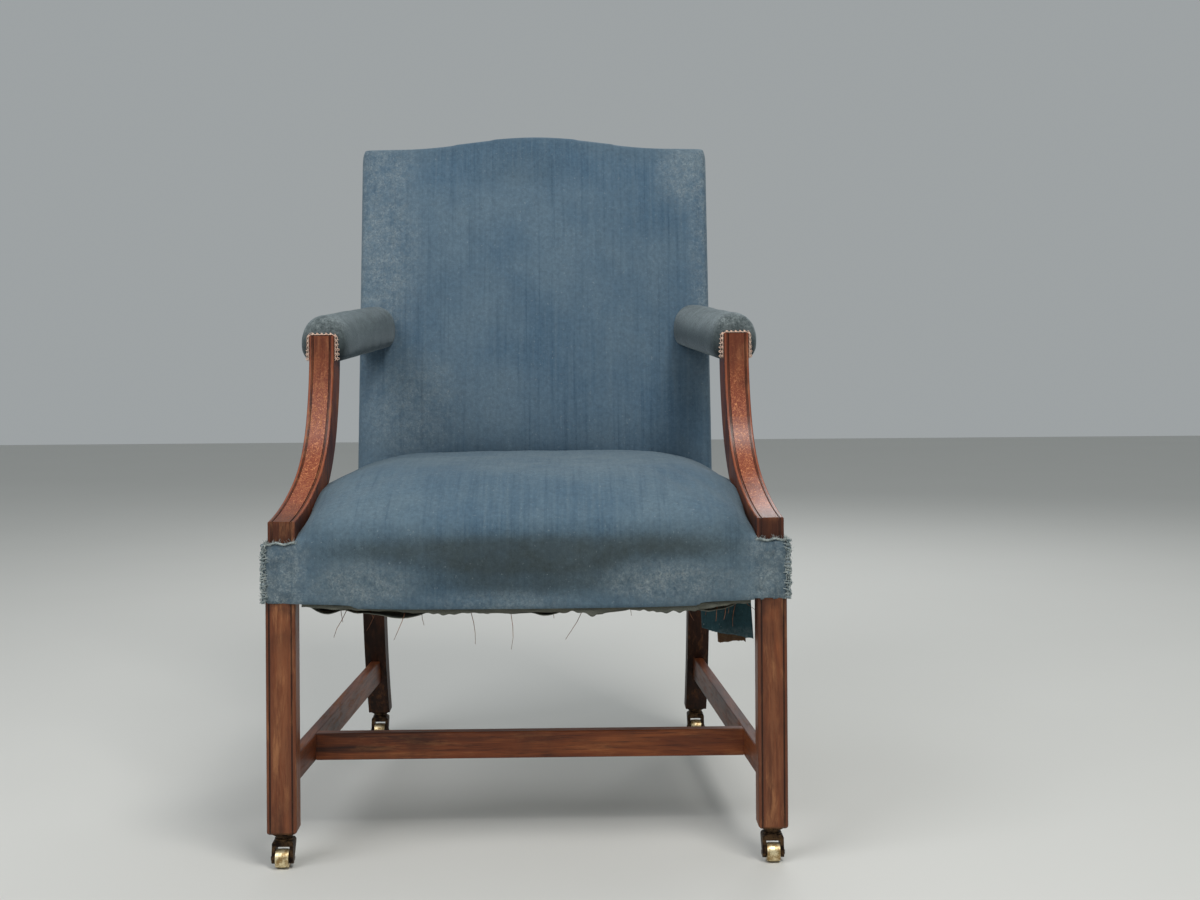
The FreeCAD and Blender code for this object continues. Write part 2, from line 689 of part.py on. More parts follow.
def side_rail(side):
    label = "side_seat_rail_" + SIDE_NAME[side]
    body = new_body(label)
    front, rear = "dims.leg_size", "dims.seat_run"
    corners = [
        (f"{side} * {side_inner_at(front)}", f"{FRONT} + {front}"),
        (f"{side} * {side_at(front)}", f"{FRONT} + {front}"),
        (f"{side} * {side_at(rear)}", f"{FRONT} + {rear}"),
        (f"{side} * {side_inner_at(rear)}", f"{FRONT} + {rear}"),
    ]
    add(body, "rail", "XY_Plane", corners, "dims.rail_underside", "dims.rail_height")
    for name, run, into in (("front_tenon", front, -1), ("rear_tenon", rear, 1)):
        low, high = centred(f"({side} * ({side_at(run)} - dims.rail_thickness / 2))", "dims.tenon_thickness")
        tip = f"{FRONT} + {run} + {into} * dims.side_tenon_length"
        root = f"{FRONT} + {run} - {into} * 4"
        add(body, name, "XY_Plane", rectangle(low, high, root, tip), TENON_FOOT, TENON_TALL)
    return keep(body, label)


def corner_block(side, rear):
    """Block glued into a corner of the seat frame, notched round the leg."""
    body = new_body("corner_block")
    gap = "dims.fit_gap"
    if rear:
        inner, face = f"({HALF_REAR} - dims.post_width - {gap})", f"(dims.seat_run - {gap})"
        rail = "(dims.seat_run + dims.post_depth - dims.rail_thickness)"
        far = "(dims.seat_run - dims.block_reach)"
    else:
        inner, face = f"({HALF_FRONT} - dims.leg_size - {gap})", f"(dims.leg_size + {gap})"
        rail, far = "dims.rail_thickness", "(dims.leg_size + dims.block_reach)"
    corners = [
        (f"{side} * {inner}", f"{FRONT} + {rail}"),
        (f"{side} * ({inner} - dims.block_reach)", f"{FRONT} + {rail}"),
        (f"{side} * {side_inner_at(far)}", f"{FRONT} + {far}"),
        (f"{side} * {side_inner_at(face)}", f"{FRONT} + {face}"),
        (f"{side} * {inner}", f"{FRONT} + {face}"),
    ]
    add(body, "block", "XY_Plane", corners, "dims.rail_underside + dims.block_drop", "dims.block_height")
    return body


def corner_blocks():
    blocks = [corner_block(side, rear) for rear in (False, True) for side in (LEFT, RIGHT)]
    return keep(group(blocks, "corner_blocks"), "corner_blocks")


# Stretchers

def long_edge(edge, least=150):
    return edge.Length > least


def side_stretcher(side):
    label = "side_stretcher_" + SIDE_NAME[side]
    body = new_body(label)
    half = "dims.stretcher_thickness / 2"
    front, rear = "dims.leg_size", STRETCHER_END
    corners = [
        (f"{side} * ({stretcher_at(front)} - {half})", f"{FRONT} + {front}"),
        (f"{side} * ({stretcher_at(front)} + {half})", f"{FRONT} + {front}"),
        (f"{side} * ({stretcher_at(rear)} + {half})", f"{FRONT} + {rear}"),
        (f"{side} * ({stretcher_at(rear)} - {half})", f"{FRONT} + {rear}"),
    ]
    add(body, "bar", "XY_Plane", corners, "dims.stretcher_underside", "dims.stretcher_height")
    dress_edges(body, "Chamfer", "broken_edges", "dims.stretcher_ease", long_edge)
    low, high = "(dims.stretcher_underside - 1)", f"({STRETCHER_TOP} + 1)"
    shoulder = [(f"{POST_FACE} + {rear_sweep(low)} - dims.curve_gap", low),
                (f"{POST_FACE} + {rear_sweep(low)} + 30", low),
                (f"{POST_FACE} + {rear_sweep(low)} + 30", high),
                (f"{POST_FACE} + {rear_sweep(high)} - dims.curve_gap", high)]
    wide = "dims.front_width"
    cut(body, "rear_shoulder", "YZ_Plane", shoulder, f"-({wide}) / 2", wide)
    foot = "dims.stretcher_underside + dims.thin_shoulder"
    tall = "dims.stretcher_height - 2 * dims.thin_shoulder"
    low, high = centred(f"({side} * {stretcher_at(front)})", "dims.thin_tenon")
    add(body, "front_tenon", "XY_Plane",
        rectangle(low, high, f"{FRONT} + {front} - dims.thin_tenon_length", f"{FRONT} + {front} + 3"),
        foot, tall)
    low, high = centred(f"({side} * ({HALF_REAR} - dims.post_width / 2))", "dims.thin_tenon")
    add(body, "rear_tenon", "XY_Plane",
        rectangle(low, high, f"{FRONT} + {rear} - 20", f"{FRONT} + {rear} + dims.thin_tenon_length"),
        foot, tall)
    middle = "(dims.cross_setback + dims.cross_thickness / 2)"
    inner = f"({stretcher_at(middle)} - {half})"
    low, high = centred(f"({FRONT} + {middle})", "dims.thin_tenon + 2 * dims.fit_gap")
    thin_mortise(body, "cross_mortise", f"{side} * ({inner} - 3)",
                 f"{side} * ({inner} + dims.stub_length + dims.end_gap)", low, high)
    return keep(body, label)


def cross_stretcher():
    body = new_body("cross_stretcher")
    half = "dims.stretcher_thickness / 2"
    front, back = "dims.cross_setback", "(dims.cross_setback + dims.cross_thickness)"
    front_half = f"({stretcher_at(front)} - {half} - dims.fit_gap)"
    back_half = f"({stretcher_at(back)} - {half} - dims.fit_gap)"
    corners = [(f"-{front_half}", f"{FRONT} + {front}"), (front_half, f"{FRONT} + {front}"),
               (back_half, f"{FRONT} + {back}"), (f"-{back_half}", f"{FRONT} + {back}")]
    add(body, "bar", "XY_Plane", corners, "dims.stretcher_underside", "dims.stretcher_height")
    dress_edges(body, "Chamfer", "broken_edges", "dims.stretcher_ease", long_edge)
    middle = "(dims.cross_setback + dims.cross_thickness / 2)"
    reach = f"({stretcher_at(middle)} - {half} + dims.stub_length)"
    low, high = centred(f"({FRONT} + {middle})", "dims.thin_tenon")
    add(body, "tenons", "XY_Plane", rectangle(f"-{reach}", reach, low, high),
        "dims.stretcher_underside + dims.thin_shoulder", "dims.stretcher_height - 2 * dims.thin_shoulder")
    return keep(body, "cross_stretcher")


# Arms

def support_groove(body, side, name, near):
    """Groove that follows the front of the support between a bead and the flat."""
    front, back = swept_edge("-0.5"), swept_edge("dims.groove_depth")
    setback = "dims.support_setback"
    corners = ([(f"{setback} - 0.5", f"{RAIL_TOP} - 1")] + front
               + [(front[-1][0], f"{SUPPORT_TOP} + 1"), (back[-1][0], f"{SUPPORT_TOP} + 1")]
               + backwards(back) + [(f"{setback} + dims.groove_depth", f"{RAIL_TOP} - 1")])
    cut(body, name, "YZ_Plane", corners, inward(side, near, "dims.groove_width"), "dims.groove_width")


def arm_support(side):
    label = "arm_support_" + SIDE_NAME[side]
    body = new_body(label, side_frame(side))
    add(body, "sweep", "YZ_Plane", support_outline(),
        inward(side, "dims.support_inset", "dims.support_width"), "dims.support_width")
    front_face = [(size(corner[0]), size(corner[1])) for corner in swept_edge("0")]

    def on_front_curve(edge):
        ends = [(vertex.Point.y, vertex.Point.z) for vertex in edge.Vertexes]
        along = len(ends) == 2 and math.dist(*ends) > 20
        return along and all(any(math.dist(end, point) < 0.01 for point in front_face) for end in ends)

    dress_edges(body, "Fillet", "rounded_edges", "dims.support_round", on_front_curve)
    support_groove(body, side, "outer_groove", "dims.support_inset + dims.support_bead")
    support_groove(body, side, "inner_groove",
                   "dims.support_inset + dims.support_width - dims.support_bead - dims.groove_width")
    across = f"{-side} * {ARM_MIDDLE}"
    add_round(body, "dowel", "XY_Plane", (across, "dims.support_setback + dims.leg_size / 2 - 4"),
              "dims.dowel_diameter", f"{RAIL_TOP} - dims.dowel_length", "dims.dowel_length + 3")
    low_x, high_x = centred(across, "dims.arm_tenon_width + 2 * dims.fit_gap")
    low_z, high_z = centred(ARM_FRONT, "dims.arm_tenon_height + 2 * dims.fit_gap")
    cut(body, "arm_mortise", "XZ_Plane", rectangle(low_x, high_x, low_z, high_z),
        f"{SUPPORT_BACK} - dims.arm_tenon_length - dims.end_gap", "dims.arm_tenon_length + dims.end_gap + 4")
    return keep(body, label)


def arm_core(name, side, grow="0"):
    """Arm rail between the support and the post, without its tenons."""
    body = new_body(name, side_frame(side))
    half = f"(dims.arm_rail_height / 2 + {grow})"
    near = f"({ARM_MIDDLE} - dims.arm_rail_width / 2 - {grow})"
    start = f"{SUPPORT_BACK} + dims.fit_gap - 8 * {grow}"
    corners = [(start, f"{ARM_FRONT} - {half}"),
               (post_run(f"{ARM_REAR} - {half}", near), f"{ARM_REAR} - {half}"),
               (post_run(f"{ARM_REAR} + {half}", near), f"{ARM_REAR} + {half}"),
               (start, f"{ARM_FRONT} + {half}")]
    wide = f"(dims.arm_rail_width + 2 * {grow})"
    add(body, "rail", "YZ_Plane", corners, inward(side, near, wide), wide)
    return body


def arm_rail(side):
    label = "arm_rail_" + SIDE_NAME[side]
    body = arm_core(label, side)
    low_x, high_x = centred(f"{-side} * {ARM_MIDDLE}", "dims.arm_tenon_width")
    low_z, high_z = centred(ARM_FRONT, "dims.arm_tenon_height")
    add(body, "front_tenon", "XZ_Plane", rectangle(low_x, high_x, low_z, high_z),
        f"{SUPPORT_BACK} - dims.arm_tenon_length", "dims.arm_tenon_length + 10")
    rear_tenon(body, side)
    return keep(body, label)


def rear_tenon(body, side, grow="0"):
    """Tenon of an arm rail in the post."""
    low_x, high_x = centred(f"{-side} * {ARM_MIDDLE}", f"(dims.arm_tenon_width + 2 * {grow})")
    low_z, high_z = centred(ARM_REAR, f"(dims.arm_tenon_height + 2 * {grow})")
    end = post_run(ARM_REAR, f"({ARM_MIDDLE} - dims.arm_rail_width / 2)")
    add(body, "rear_tenon", "XZ_Plane", rectangle(low_x, high_x, low_z, high_z),
        f"{end} - 12", f"dims.arm_tenon_length + 12 - 3 + {grow}")


def arm_rail_room(side):
    """The arm rail and its rear tenon with the room round them."""
    body = arm_core("arm_rail_room", side, "dims.soft_gap")
    near = f"({ARM_MIDDLE} - dims.arm_rail_width / 2)"
    low, high = f"{ARM_REAR} - dims.arm_rail_height / 2", f"{ARM_REAR} + dims.arm_rail_height / 2"
    ahead, behind = "- 4 * dims.soft_gap", "+ dims.soft_gap"
    corners = [(f"{post_run(low, near)} {ahead}", low), (f"{post_run(low, near)} {behind}", low),
               (f"{post_run(high, near)} {behind}", high), (f"{post_run(high, near)} {ahead}", high)]
    wide = "(dims.arm_rail_width + 2 * dims.soft_gap)"
    add(body, "end_room", "YZ_Plane", corners, inward(side, f"({near} - dims.soft_gap)", wide), wide)
    rear_tenon(body, side, "dims.soft_gap")
    return body


def arm_rail_rooms():
    return [arm_rail_room(side) for side in (LEFT, RIGHT)]


def support_room(side):
    """The support with the room round it, open towards the outside of the chair."""
    body = new_body("support_room", side_frame(side))
    inner = "(dims.support_inset + dims.support_width + dims.soft_gap)"
    wide = f"{inner} + 30"
    add(body, "room", "YZ_Plane", support_outline("dims.soft_gap"), inward(side, "-30", wide), wide)
    return body


def support_rooms():
    return [support_room(side) for side in (LEFT, RIGHT)]


def arm_section(side, share):
    """Section of the arm pad: flat under the rail, full at the sides, crowned on top."""
    tall = f"({share} * (dims.arm_pad_above + dims.arm_pad_below))"
    half = f"({share} * dims.arm_pad_width / 2)"
    low = f"((dims.arm_pad_above - dims.arm_pad_below) / 2 - {tall} / 2)"
    low_radius = f"0.8 * sqrt((0.3 * {half})^2 + (0.4 * {tall})^2)"
    high_radius = f"0.85 * sqrt((0.38 * {half})^2 + (0.46 * {tall})^2)"
    top_radius = f"((0.62 * {half})^2 + (0.14 * {tall})^2) / (0.28 * {tall})"

    def at(across, up):
        return f"{-side} * {ARM_MIDDLE} + {across} * {half}", f"{low} + {up} * {tall}"

    return [at(-0.7, 0), at(0.7, 0) + (low_radius, 1),
            at(1, 0.4) + (high_radius, 1), at(0.62, 0.86) + (top_radius, 1),
            at(-0.62, 0.86) + (high_radius, 1), at(-1, 0.4) + (low_radius, 1)]


def arm_pad(side):
    label = "arm_pad_" + SIDE_NAME[side]
    body = new_body(label + "_form", arm_frame(side))
    sections = [(f"({behind} - dims.support_depth)", arm_section(side, share)) for behind, share in ARM_FORM]
    loft(body, "nose", "XZ_Plane", sections, ruled=True)
    start, full_section = sections[-1]
    length = f"{post_run(ARM_REAR, '0')} - {SUPPORT_BACK} - {start}"
    add(body, "length", "XZ_Plane", full_section, start, length)
    back = back_form("back_room", "dims.soft_gap", "dims.arm_pad_width / 2")
    return keep(cut_away(body, [support_room(side), arm_rail_room(side), back], label), label)


def arm_braid(side):
    """Braid round the top of the support, on the front of the pad."""
    label = "arm_braid_" + SIDE_NAME[side]
    body = new_body(label, side_frame(side))
    inner = "(dims.support_width / 2 + dims.soft_gap)"
    outer = f"({inner} + dims.braid_width)"
    across = f"{-side} * {ARM_MIDDLE}"
    low = f"{SUPPORT_TOP} - dims.arm_drop - dims.arm_pad_below"
    inner_top = f"{SUPPORT_TOP} + dims.soft_gap"
    outer_top = f"{SUPPORT_TOP} + dims.soft_gap + dims.braid_width"
    corners = [(f"{across} - {outer}", low), (f"{across} - {inner}", low), (f"{across} - {inner}", inner_top),
               (f"{across} + {inner}", inner_top), (f"{across} + {inner}", low), (f"{across} + {outer}", low),
               (f"{across} + {outer}", outer_top), (f"{across} - {outer}", outer_top)]
    add(body, "braid", "XZ_Plane", corners, f"{SUPPORT_RUN} + 0.7", "dims.braid_thickness")
    return keep(body, label)


# Back

def crest_rail():
    body = new_body("crest_rail", back_frame())
    add(body, "rail", "XZ_Plane", crest_line("0", "dims.upright_length"), "0", "dims.upright_thickness")
    low_t, high_t = centred("(dims.upright_thickness / 2)", "dims.tenon_thickness + 2 * dims.fit_gap")
    slot = rectangle(low_t, high_t, "dims.upright_length - 1",
                     "dims.upright_length + dims.bridle_length + dims.end_gap")
    wide = "dims.post_width + dims.fit_gap + 1"
    cut(body, "left_bridle", "YZ_Plane", slot, f"-{HALF_REAR} - 1", wide)
    cut(body, "right_bridle", "YZ_Plane", slot, f"{HALF_REAR} - dims.post_width - dims.fit_gap", wide)
    return keep(body, "crest_rail")


def lower_back_rail():
    body = new_body("lower_back_rail", back_frame())
    half = f"({HALF_REAR} - dims.post_width)"
    low, high = centred("(dims.upright_thickness / 2)", "dims.lower_rail_thickness")
    add(body, "rail", "XY_Plane", rectangle(f"-{half}", half, low, high),
        "dims.lower_rail_start", "dims.lower_rail_height")
    reach = f"({half} + dims.tenon_length)"
    low, high = centred("(dims.upright_thickness / 2)", "dims.tenon_thickness")
    add(body, "tenons", "XY_Plane", rectangle(f"-{reach}", reach, low, high),
        "dims.lower_rail_start + dims.thin_shoulder", "dims.lower_rail_height - 2 * dims.thin_shoulder")
    return keep(body, "lower_back_rail")


def strap(low_corner, spans):
    """One webbing strap."""
    item = doc.addObject("Part::Box", "strap")
    for side_name, text in zip(("Length", "Width", "Height"), spans):
        item.setExpression(side_name, text)
    for letter, text in zip("xyz", low_corner):
        item.setExpression(f"Placement.Base.{letter}", text)
    return item


def spread(count, index):
    """Shares from -1 to 1, evenly spaced."""
    return 2 * index / (count - 1) - 1


def back_webbing():
    """Upright straps from the lower rail to the crest, and level ones behind them on the posts."""
    wide, thick = "dims.webbing_width", "dims.webbing_thickness"
    straps = []
    low = "(dims.lower_rail_start + 8)"
    high = "(dims.crest_shoulder - 25)"
    front = f"-(2 * {thick} + 0.2)"
    count = STRAP_COUNTS["back_long"]
    for index in range(count):
        middle = f"({spread(count, index)} * ({HALF_REAR} - dims.post_width - {wide} / 2 - 12))"
        straps.append(strap((f"{middle} - {wide} / 2", front, low), (wide, thick, f"{high} - {low}")))
    half = f"({HALF_REAR} - 8)"
    arm = f"(({ARM_REAR} - {RAIL_TOP}) / cos(dims.back_rake))"
    under, over = f"({arm} - dims.arm_rail_height - {wide})", f"({arm} + dims.arm_rail_height)"
    first = f"({low} + 0.2 * ({under} - {low}))"
    last = f"({over} + 0.7 * ({high} - {over} - {wide}))"
    for level in (first, under, over, last):
        straps.append(strap((f"-{half}", f"-({thick})", level), (f"2 * {half}", thick, wide)))
    return keep(group(straps, "back_webbing", frame=back_frame()), "back_webbing")


def back_hessian():
    """Hessian over the webbing, let in round the arm rails."""
    body = new_body("back_hessian_sheet", back_frame())
    behind = "-(2 * dims.webbing_thickness + 0.4 + dims.hessian_thickness)"
    plan = crest_line("-9", "dims.lower_rail_start + 4")
    add(body, "sheet", "XZ_Plane", plan, behind, "dims.hessian_thickness")
    return keep(cut_away(body, arm_rail_rooms(), "back_hessian"), "back_hessian")


def back_section(grow, spread_out, crown_share):
    """Plan of the stuffed back: square behind, rounded at the sides, crowned in front."""
    half = f"({HALF_REAR} + dims.back_wrap + {grow} + {spread_out})"
    corner = "dims.back_pad_corner"
    edge = f"(dims.back_pad_edge + {grow})"
    chord = f"({half} - {corner})"
    rise = f"((dims.back_pad_crown - dims.back_pad_edge) * {crown_share})"
    crown_radius = f"({chord}^2 + {rise}^2) / (2 * {rise})"
    rear = f"dims.upright_thickness + {grow}"
    return [(f"-{half}", rear), (half, rear), (half, f"{corner} - {edge}", corner, -1),
            (chord, f"-{edge}", crown_radius, -1), (f"-{chord}", f"-{edge}", corner, -1),
            (f"-{half}", f"{corner} - {edge}")]


def back_form(name, grow="0", spread_out="0"):
    """Outer form of the stuffed back, with the crest's outline."""
    low = f"(dims.back_pad_start - {grow})"
    tall = f"(dims.crest_shoulder + dims.crest_rise - {low})"
    swell = new_body(name + "_swell", back_frame())
    sections = []
    for share, crown_share in BACK_FORM:
        sections.append((f"{low} + {share} * {tall}", back_section(grow, spread_out, crown_share)))
    loft(swell, "stuffing", "XY_Plane", sections)
    front = new_body(name + "_front", back_frame())
    deep = "(2 * dims.back_pad_crown)"
    outset = f"(dims.back_wrap + {grow} + {spread_out})"
    add(front, "outline", "XZ_Plane", crest_line(outset, low), f"-{deep}", f"2 * {deep}")
    form = doc.addObject("Part::Common", name)
    form.Base = swell
    form.Tool = front
    return form


def back_frame_room():
    """The wooden back with its webbing and hessian, and the room round it."""
    body = new_body("back_frame_room", back_frame())
    front = "(2 * dims.webbing_thickness + 0.7 + dims.hessian_thickness)"
    add(body, "room", "XZ_Plane", crest_line("dims.soft_gap", "-20"), f"-{front}", f"{front} + 80")
    return body


def post_strip(side):
    """Cover on the outside of a post between the seat and the stuffed back."""
    body = new_body("post_strip", back_frame())
    low, wide = f"({HALF_REAR} + dims.soft_gap)", "(dims.back_wrap - dims.soft_gap)"
    start = low if side == RIGHT else f"-{low} - {wide}"
    corners = rectangle("0", "dims.upright_thickness", "dims.back_strip_start", "dims.back_pad_start + 1")
    add(body, "strip", "YZ_Plane", corners, start, wide)
    return body


def back_pad():
    whole = doc.addObject("Part::MultiFuse", "back_whole")
    whole.Shapes = [back_form("back_form"), post_strip(LEFT), post_strip(RIGHT)]
    return keep(cut_away(whole, [back_frame_room()] + arm_rail_rooms(), "back_pad"), "back_pad")


def outside_back():
    """Cover behind the posts, from the underside of the rear rail to the crest."""
    sheet_body = new_body("outside_back_sheet")
    lines = []
    for off in ("dims.soft_gap", "(dims.soft_gap + dims.outside_thickness)"):
        points = [(f"{POST_FACE} + dims.post_depth", "dims.rail_underside"),
                  (f"{POST_FACE} + dims.post_depth", RAIL_TOP),
                  raked("dims.upright_thickness", "dims.upright_spring"),
                  raked("dims.upright_thickness", "dims.crest_shoulder + 2 * dims.crest_rise")]
        lines.append([(f"{across} + {off}", up) for across, up in points])
    add(sheet_body, "sheet", "YZ_Plane", lines[1] + lines[0][::-1], f"-{HALF_REAR}", "dims.rear_width")
    front = new_body("outside_back_front", back_frame())
    add(front, "outline", "XZ_Plane", crest_line("-2", "-2 * dims.rail_height"), "-60", "200")
    cover = doc.addObject("Part::Common", "outside_back")
    cover.Base = sheet_body
    cover.Tool = front
    return keep(cover, "outside_back")


# Seat

def seat_webbing():
    """Level straps on the side rails, and straps from front to back over them."""
    wide, thick = "dims.webbing_width", "dims.webbing_thickness"
    straps = []
    count = STRAP_COUNTS["seat_cross"]
    for index in range(count):
        share = (index + 0.85) / (count + 0.5)
        run = f"({share} * dims.seat_run)"
        half = f"({side_at(f'{run} + {wide} / 2')} - 6)"
        corner = (f"-{half}", f"{FRONT} + {run} - {wide} / 2", RAIL_TOP)
        straps.append(strap(corner, (f"2 * {half}", wide, thick)))
    count = STRAP_COUNTS["seat_long"]
    for index in range(count):
        middle = f"({spread(count, index)} * ({HALF_REAR} - dims.post_width - {wide} / 2 - 6))"
        long = "dims.seat_run + dims.post_depth - 12"
        straps.append(strap((f"{middle} - {wide} / 2", f"{FRONT} + 6", f"{RAIL_TOP} + {thick} + 0.2"),
                            (wide, long, thick)))
    return keep(cut_away(group(straps, "seat_straps"), support_rooms(), "seat_webbing"), "seat_webbing")


def seat_hessian():
    body = new_body("seat_hessian_sheet")
    inner = f"({HALF_FRONT} - dims.support_inset - dims.support_width - 12)"
    clear = "(dims.support_setback + 2 * dims.support_depth)"
    rear = "(dims.seat_run - 3)"
    half = [(inner, 4), (inner, clear), (f"({side_at(clear)} - 5)", clear), (f"({side_at(rear)} - 5)", rear)]
    corners = [(across, f"{FRONT} + {run}") for across, run in half]
    corners += [(f"-{across}", f"{FRONT} + {run}") for across, run in reversed(half)]
    add(body, "sheet", "XY_Plane", corners, f"{RAIL_TOP} + 2 * dims.webbing_thickness + 0.4",
        "dims.hessian_thickness")
    return keep(cut_away(body, support_rooms(), "seat_hessian"), "seat_hessian")


def frame_plan(grow):
    """Plan of the seat frame's outside, grown on all sides but the rear."""
    rear = f"{POST_FACE} + dims.post_depth"
    half = [(f"({HALF_FRONT} + {grow})", f"{FRONT} - {grow}"),
            (f"({HALF_FRONT} + {grow})", f"{FRONT} + dims.leg_size"),
            (f"({HALF_REAR} + {grow})", POST_FACE), (f"({HALF_REAR} + {grow})", rear)]
    return half + [(f"-{across}", back) for across, back in reversed(half)]


def seat_section(run, share, spread_share):
    """Front view of the stuffing at one depth: short sides, round shoulders and a crown."""
    foot = "(dims.support_inset + dims.support_width + dims.soft_gap + dims.cover_thickness)"
    half = f"({side_at(run)} + dims.cover_thickness - {1 - spread_share:g} * {foot})"
    tall = f"({share} * dims.seat_crown - ({STUFFING_FLOOR} - {RAIL_TOP}))"
    flat = f"({half} - dims.seat_shoulder)"
    shoulder_radius = f"0.76 * sqrt(dims.seat_shoulder^2 + (0.74 * {tall})^2)"
    crown_radius = f"({flat}^2 + (0.14 * {tall})^2) / (0.28 * {tall})"

    def at(across, up):
        return across, f"{STUFFING_FLOOR} + {up} * {tall}"

    return [at(f"-{half}", 0), at(half, 0),
            at(half, 0.12) + (shoulder_radius, 1), at(flat, 0.86) + (crown_radius, 1),
            at(f"-{flat}", 0.86) + (shoulder_radius, 1), at(f"-{half}", 0.12)]


def seat_pad():
    """Domed stuffing in its cover, which also hangs over the outside of the rails."""
    body = new_body("seat_form")
    low = "dims.rail_underside - dims.cover_drop"
    add(body, "skirt", "XY_Plane", frame_plan("dims.cover_thickness"), low, f"{STUFFING_FLOOR} - ({low})")
    sections = []
    for depth, share, spread_share in SEAT_FORM:
        run = f"({depth} * (dims.seat_run + dims.cover_thickness) - dims.cover_thickness)"
        sections.append((f"{FRONT} + {run}", seat_section(run, share, spread_share)))
    loft(body, "dome", "XZ_Plane", sections)
    frame = new_body("seat_frame_room")
    plan = frame_plan("dims.soft_gap")
    add(frame, "room", "XY_Plane", plan, f"{low} - 5", f"{STUFFING_FLOOR} - ({low}) + 5")
    tail = new_body("seat_rear_room")
    add(tail, "room", "XY_Plane",
        rectangle(f"-{HALF_REAR}", HALF_REAR, f"{POST_FACE} + dims.post_depth - 1", f"{POST_FACE} + 200"),
        f"{low} - 5", "dims.rail_height + 60")
    return keep(cut_away(body, [frame, tail] + support_rooms(), "seat_pad"), "seat_pad")


def bottom_cloth():
    """Cloth under the rails, cut back round the legs."""
    body = new_body("bottom_cloth")
    gap = 4
    leg_in, leg_back = f"({HALF_FRONT} - dims.leg_size - {gap})", f"(dims.leg_size + {gap})"
    post_in = f"({HALF_REAR} - dims.post_width - {gap})"
    rear = f"(dims.seat_run + dims.post_depth - {gap})"
    before_post = f"(dims.seat_run - {gap})"
    half = [(leg_in, gap), (leg_in, leg_back), (f"({side_at(leg_back)} - {gap})", leg_back),
            (f"({side_at(before_post)} - {gap})", before_post), (post_in, before_post), (post_in, rear)]
    corners = [(across, f"{FRONT} + {run}") for across, run in half]
    corners += [(f"-{across}", f"{FRONT} + {run}") for across, run in reversed(half)]
    add(body, "cloth", "XY_Plane", corners, "dims.rail_underside - dims.cloth_thickness - 0.2",
        "dims.cloth_thickness")
    return keep(body, "bottom_cloth")


def cover_flap():
    """Torn strip of cover that hangs under the front right of the seat in two folds."""
    body = new_body("cover_flap")
    top = "(dims.rail_underside - dims.cloth_thickness - 0.5)"
    low, wide, thick = "dims.flap_from_middle", "dims.flap_width", "dims.flap_thickness"
    fold, radius = f"({wide} / 2)", f"(0.375 * {wide})"
    back = f"({FRONT} + dims.flap_setback)"
    folds = [(low, back, radius, 1), (f"{low} + {fold}", back, radius, -1), (f"{low} + {wide}", back),
             (f"{low} + {wide}", f"{back} + {thick}", radius, 1),
             (f"{low} + {fold}", f"{back} + {thick}", radius, -1), (low, f"{back} + {thick}")]
    add(body, "strip", "XY_Plane", folds, f"{top} - dims.flap_drop", "dims.flap_drop")
    foot = f"({top} - dims.flap_drop)"
    tear = [(f"{low} - 1", f"{foot} - 1"), (f"{low} + 0.35 * {wide}", f"{foot} - 1"),
            (f"{low} + 0.33 * {wide}", f"{foot} + 0.2 * dims.flap_drop"),
            (f"{low} - 1", f"{foot} + 0.3 * dims.flap_drop")]
    cut(body, "tear", "XZ_Plane", tear, f"{back} - {wide}", f"2 * {wide}")
    return keep(body, "cover_flap")


# Castors

def castor_frame(side, rear, axle=False):
    across, back = castor_place(side, rear)
    if axle:
        return (across, f"{back} - dims.castor_trail", "dims.wheel_diameter / 2"), Vector(0, 0, 1), "0"
    return (across, back, "0"), Vector(0, 0, 1), "0"


def screw_shape(grow):
    """Countersunk screw driven up through a castor plate, with room added round it."""
    gap = size("dims.screw_gap") if grow else 0
    face = size("dims.castor_rise - dims.plate_thickness")
    head, shank = size("dims.screw_head / 2") + gap, size("dims.screw_shank / 2") + gap
    sink = size("dims.screw_sink")
    up = Vector(0, 0, 1)
    cone = Part.makeCone(head, shank, sink, Vector(0, 0, face), up)
    stem = Part.makeCylinder(shank, size("dims.screw_length + dims.plate_thickness - dims.screw_sink - 2"),
                             Vector(0, 0, face + sink), up)
    return cone.fuse(stem).removeSplitter()


def screw_copies(places, grow):
    copies = []
    for across, back in places:
        copy = screw_shape(grow)
        copy.translate(Vector(size(across), size(back), 0))
        copies.append(copy)
    return copies


def castor_plate(side, rear, label):
    """Round plate and pivot pin in one turned piece; the pin is headed under the horn's crown."""
    form = new_body(label + "_form", castor_frame(side, rear))
    rise, under = "dims.castor_rise", "(dims.castor_rise - dims.plate_thickness)"
    plate, pin, head = "dims.plate_diameter / 2", "dims.pivot_diameter / 2", "dims.pivot_head / 2"
    foot = "dims.crown_underside"
    seat = f"({foot} + dims.pivot_head_height)"
    corners = [("0", foot), (head, foot), (head, seat), (pin, seat), (pin, under), (f"{plate} - 1", under),
               (plate, f"{under} + 1"), (plate, rise), ("0", rise)]
    turn_solid(form, "turning", corners, "Z_Axis")
    holes = doc.addObject("Part::Feature", label + "_holes")
    holes.Shape = Part.makeCompound(screw_copies(screw_places(side, rear), True))
    return keep(cut_away(form, [holes], label), label)


def horn_side_view():
    """Cheek that leaves the crown and runs forward to the axle boss."""
    boss, trail, axle = "dims.boss_radius", "dims.castor_trail", "(dims.wheel_diameter / 2)"
    half, low = "(dims.horn_length / 2)", "dims.crown_underside"
    top = f"({low} + dims.crown_thickness)"
    slant = "sqrt(0.5)"
    return [(half, top), (half, f"{low} + 1"),
            (f"{boss} * {slant} - {trail}", f"{axle} - {boss} * {slant}", boss, -1),
            (f"-{trail} - {boss}", axle), (f"-{half}", f"{low} + 1"), (f"-{half}", top)]


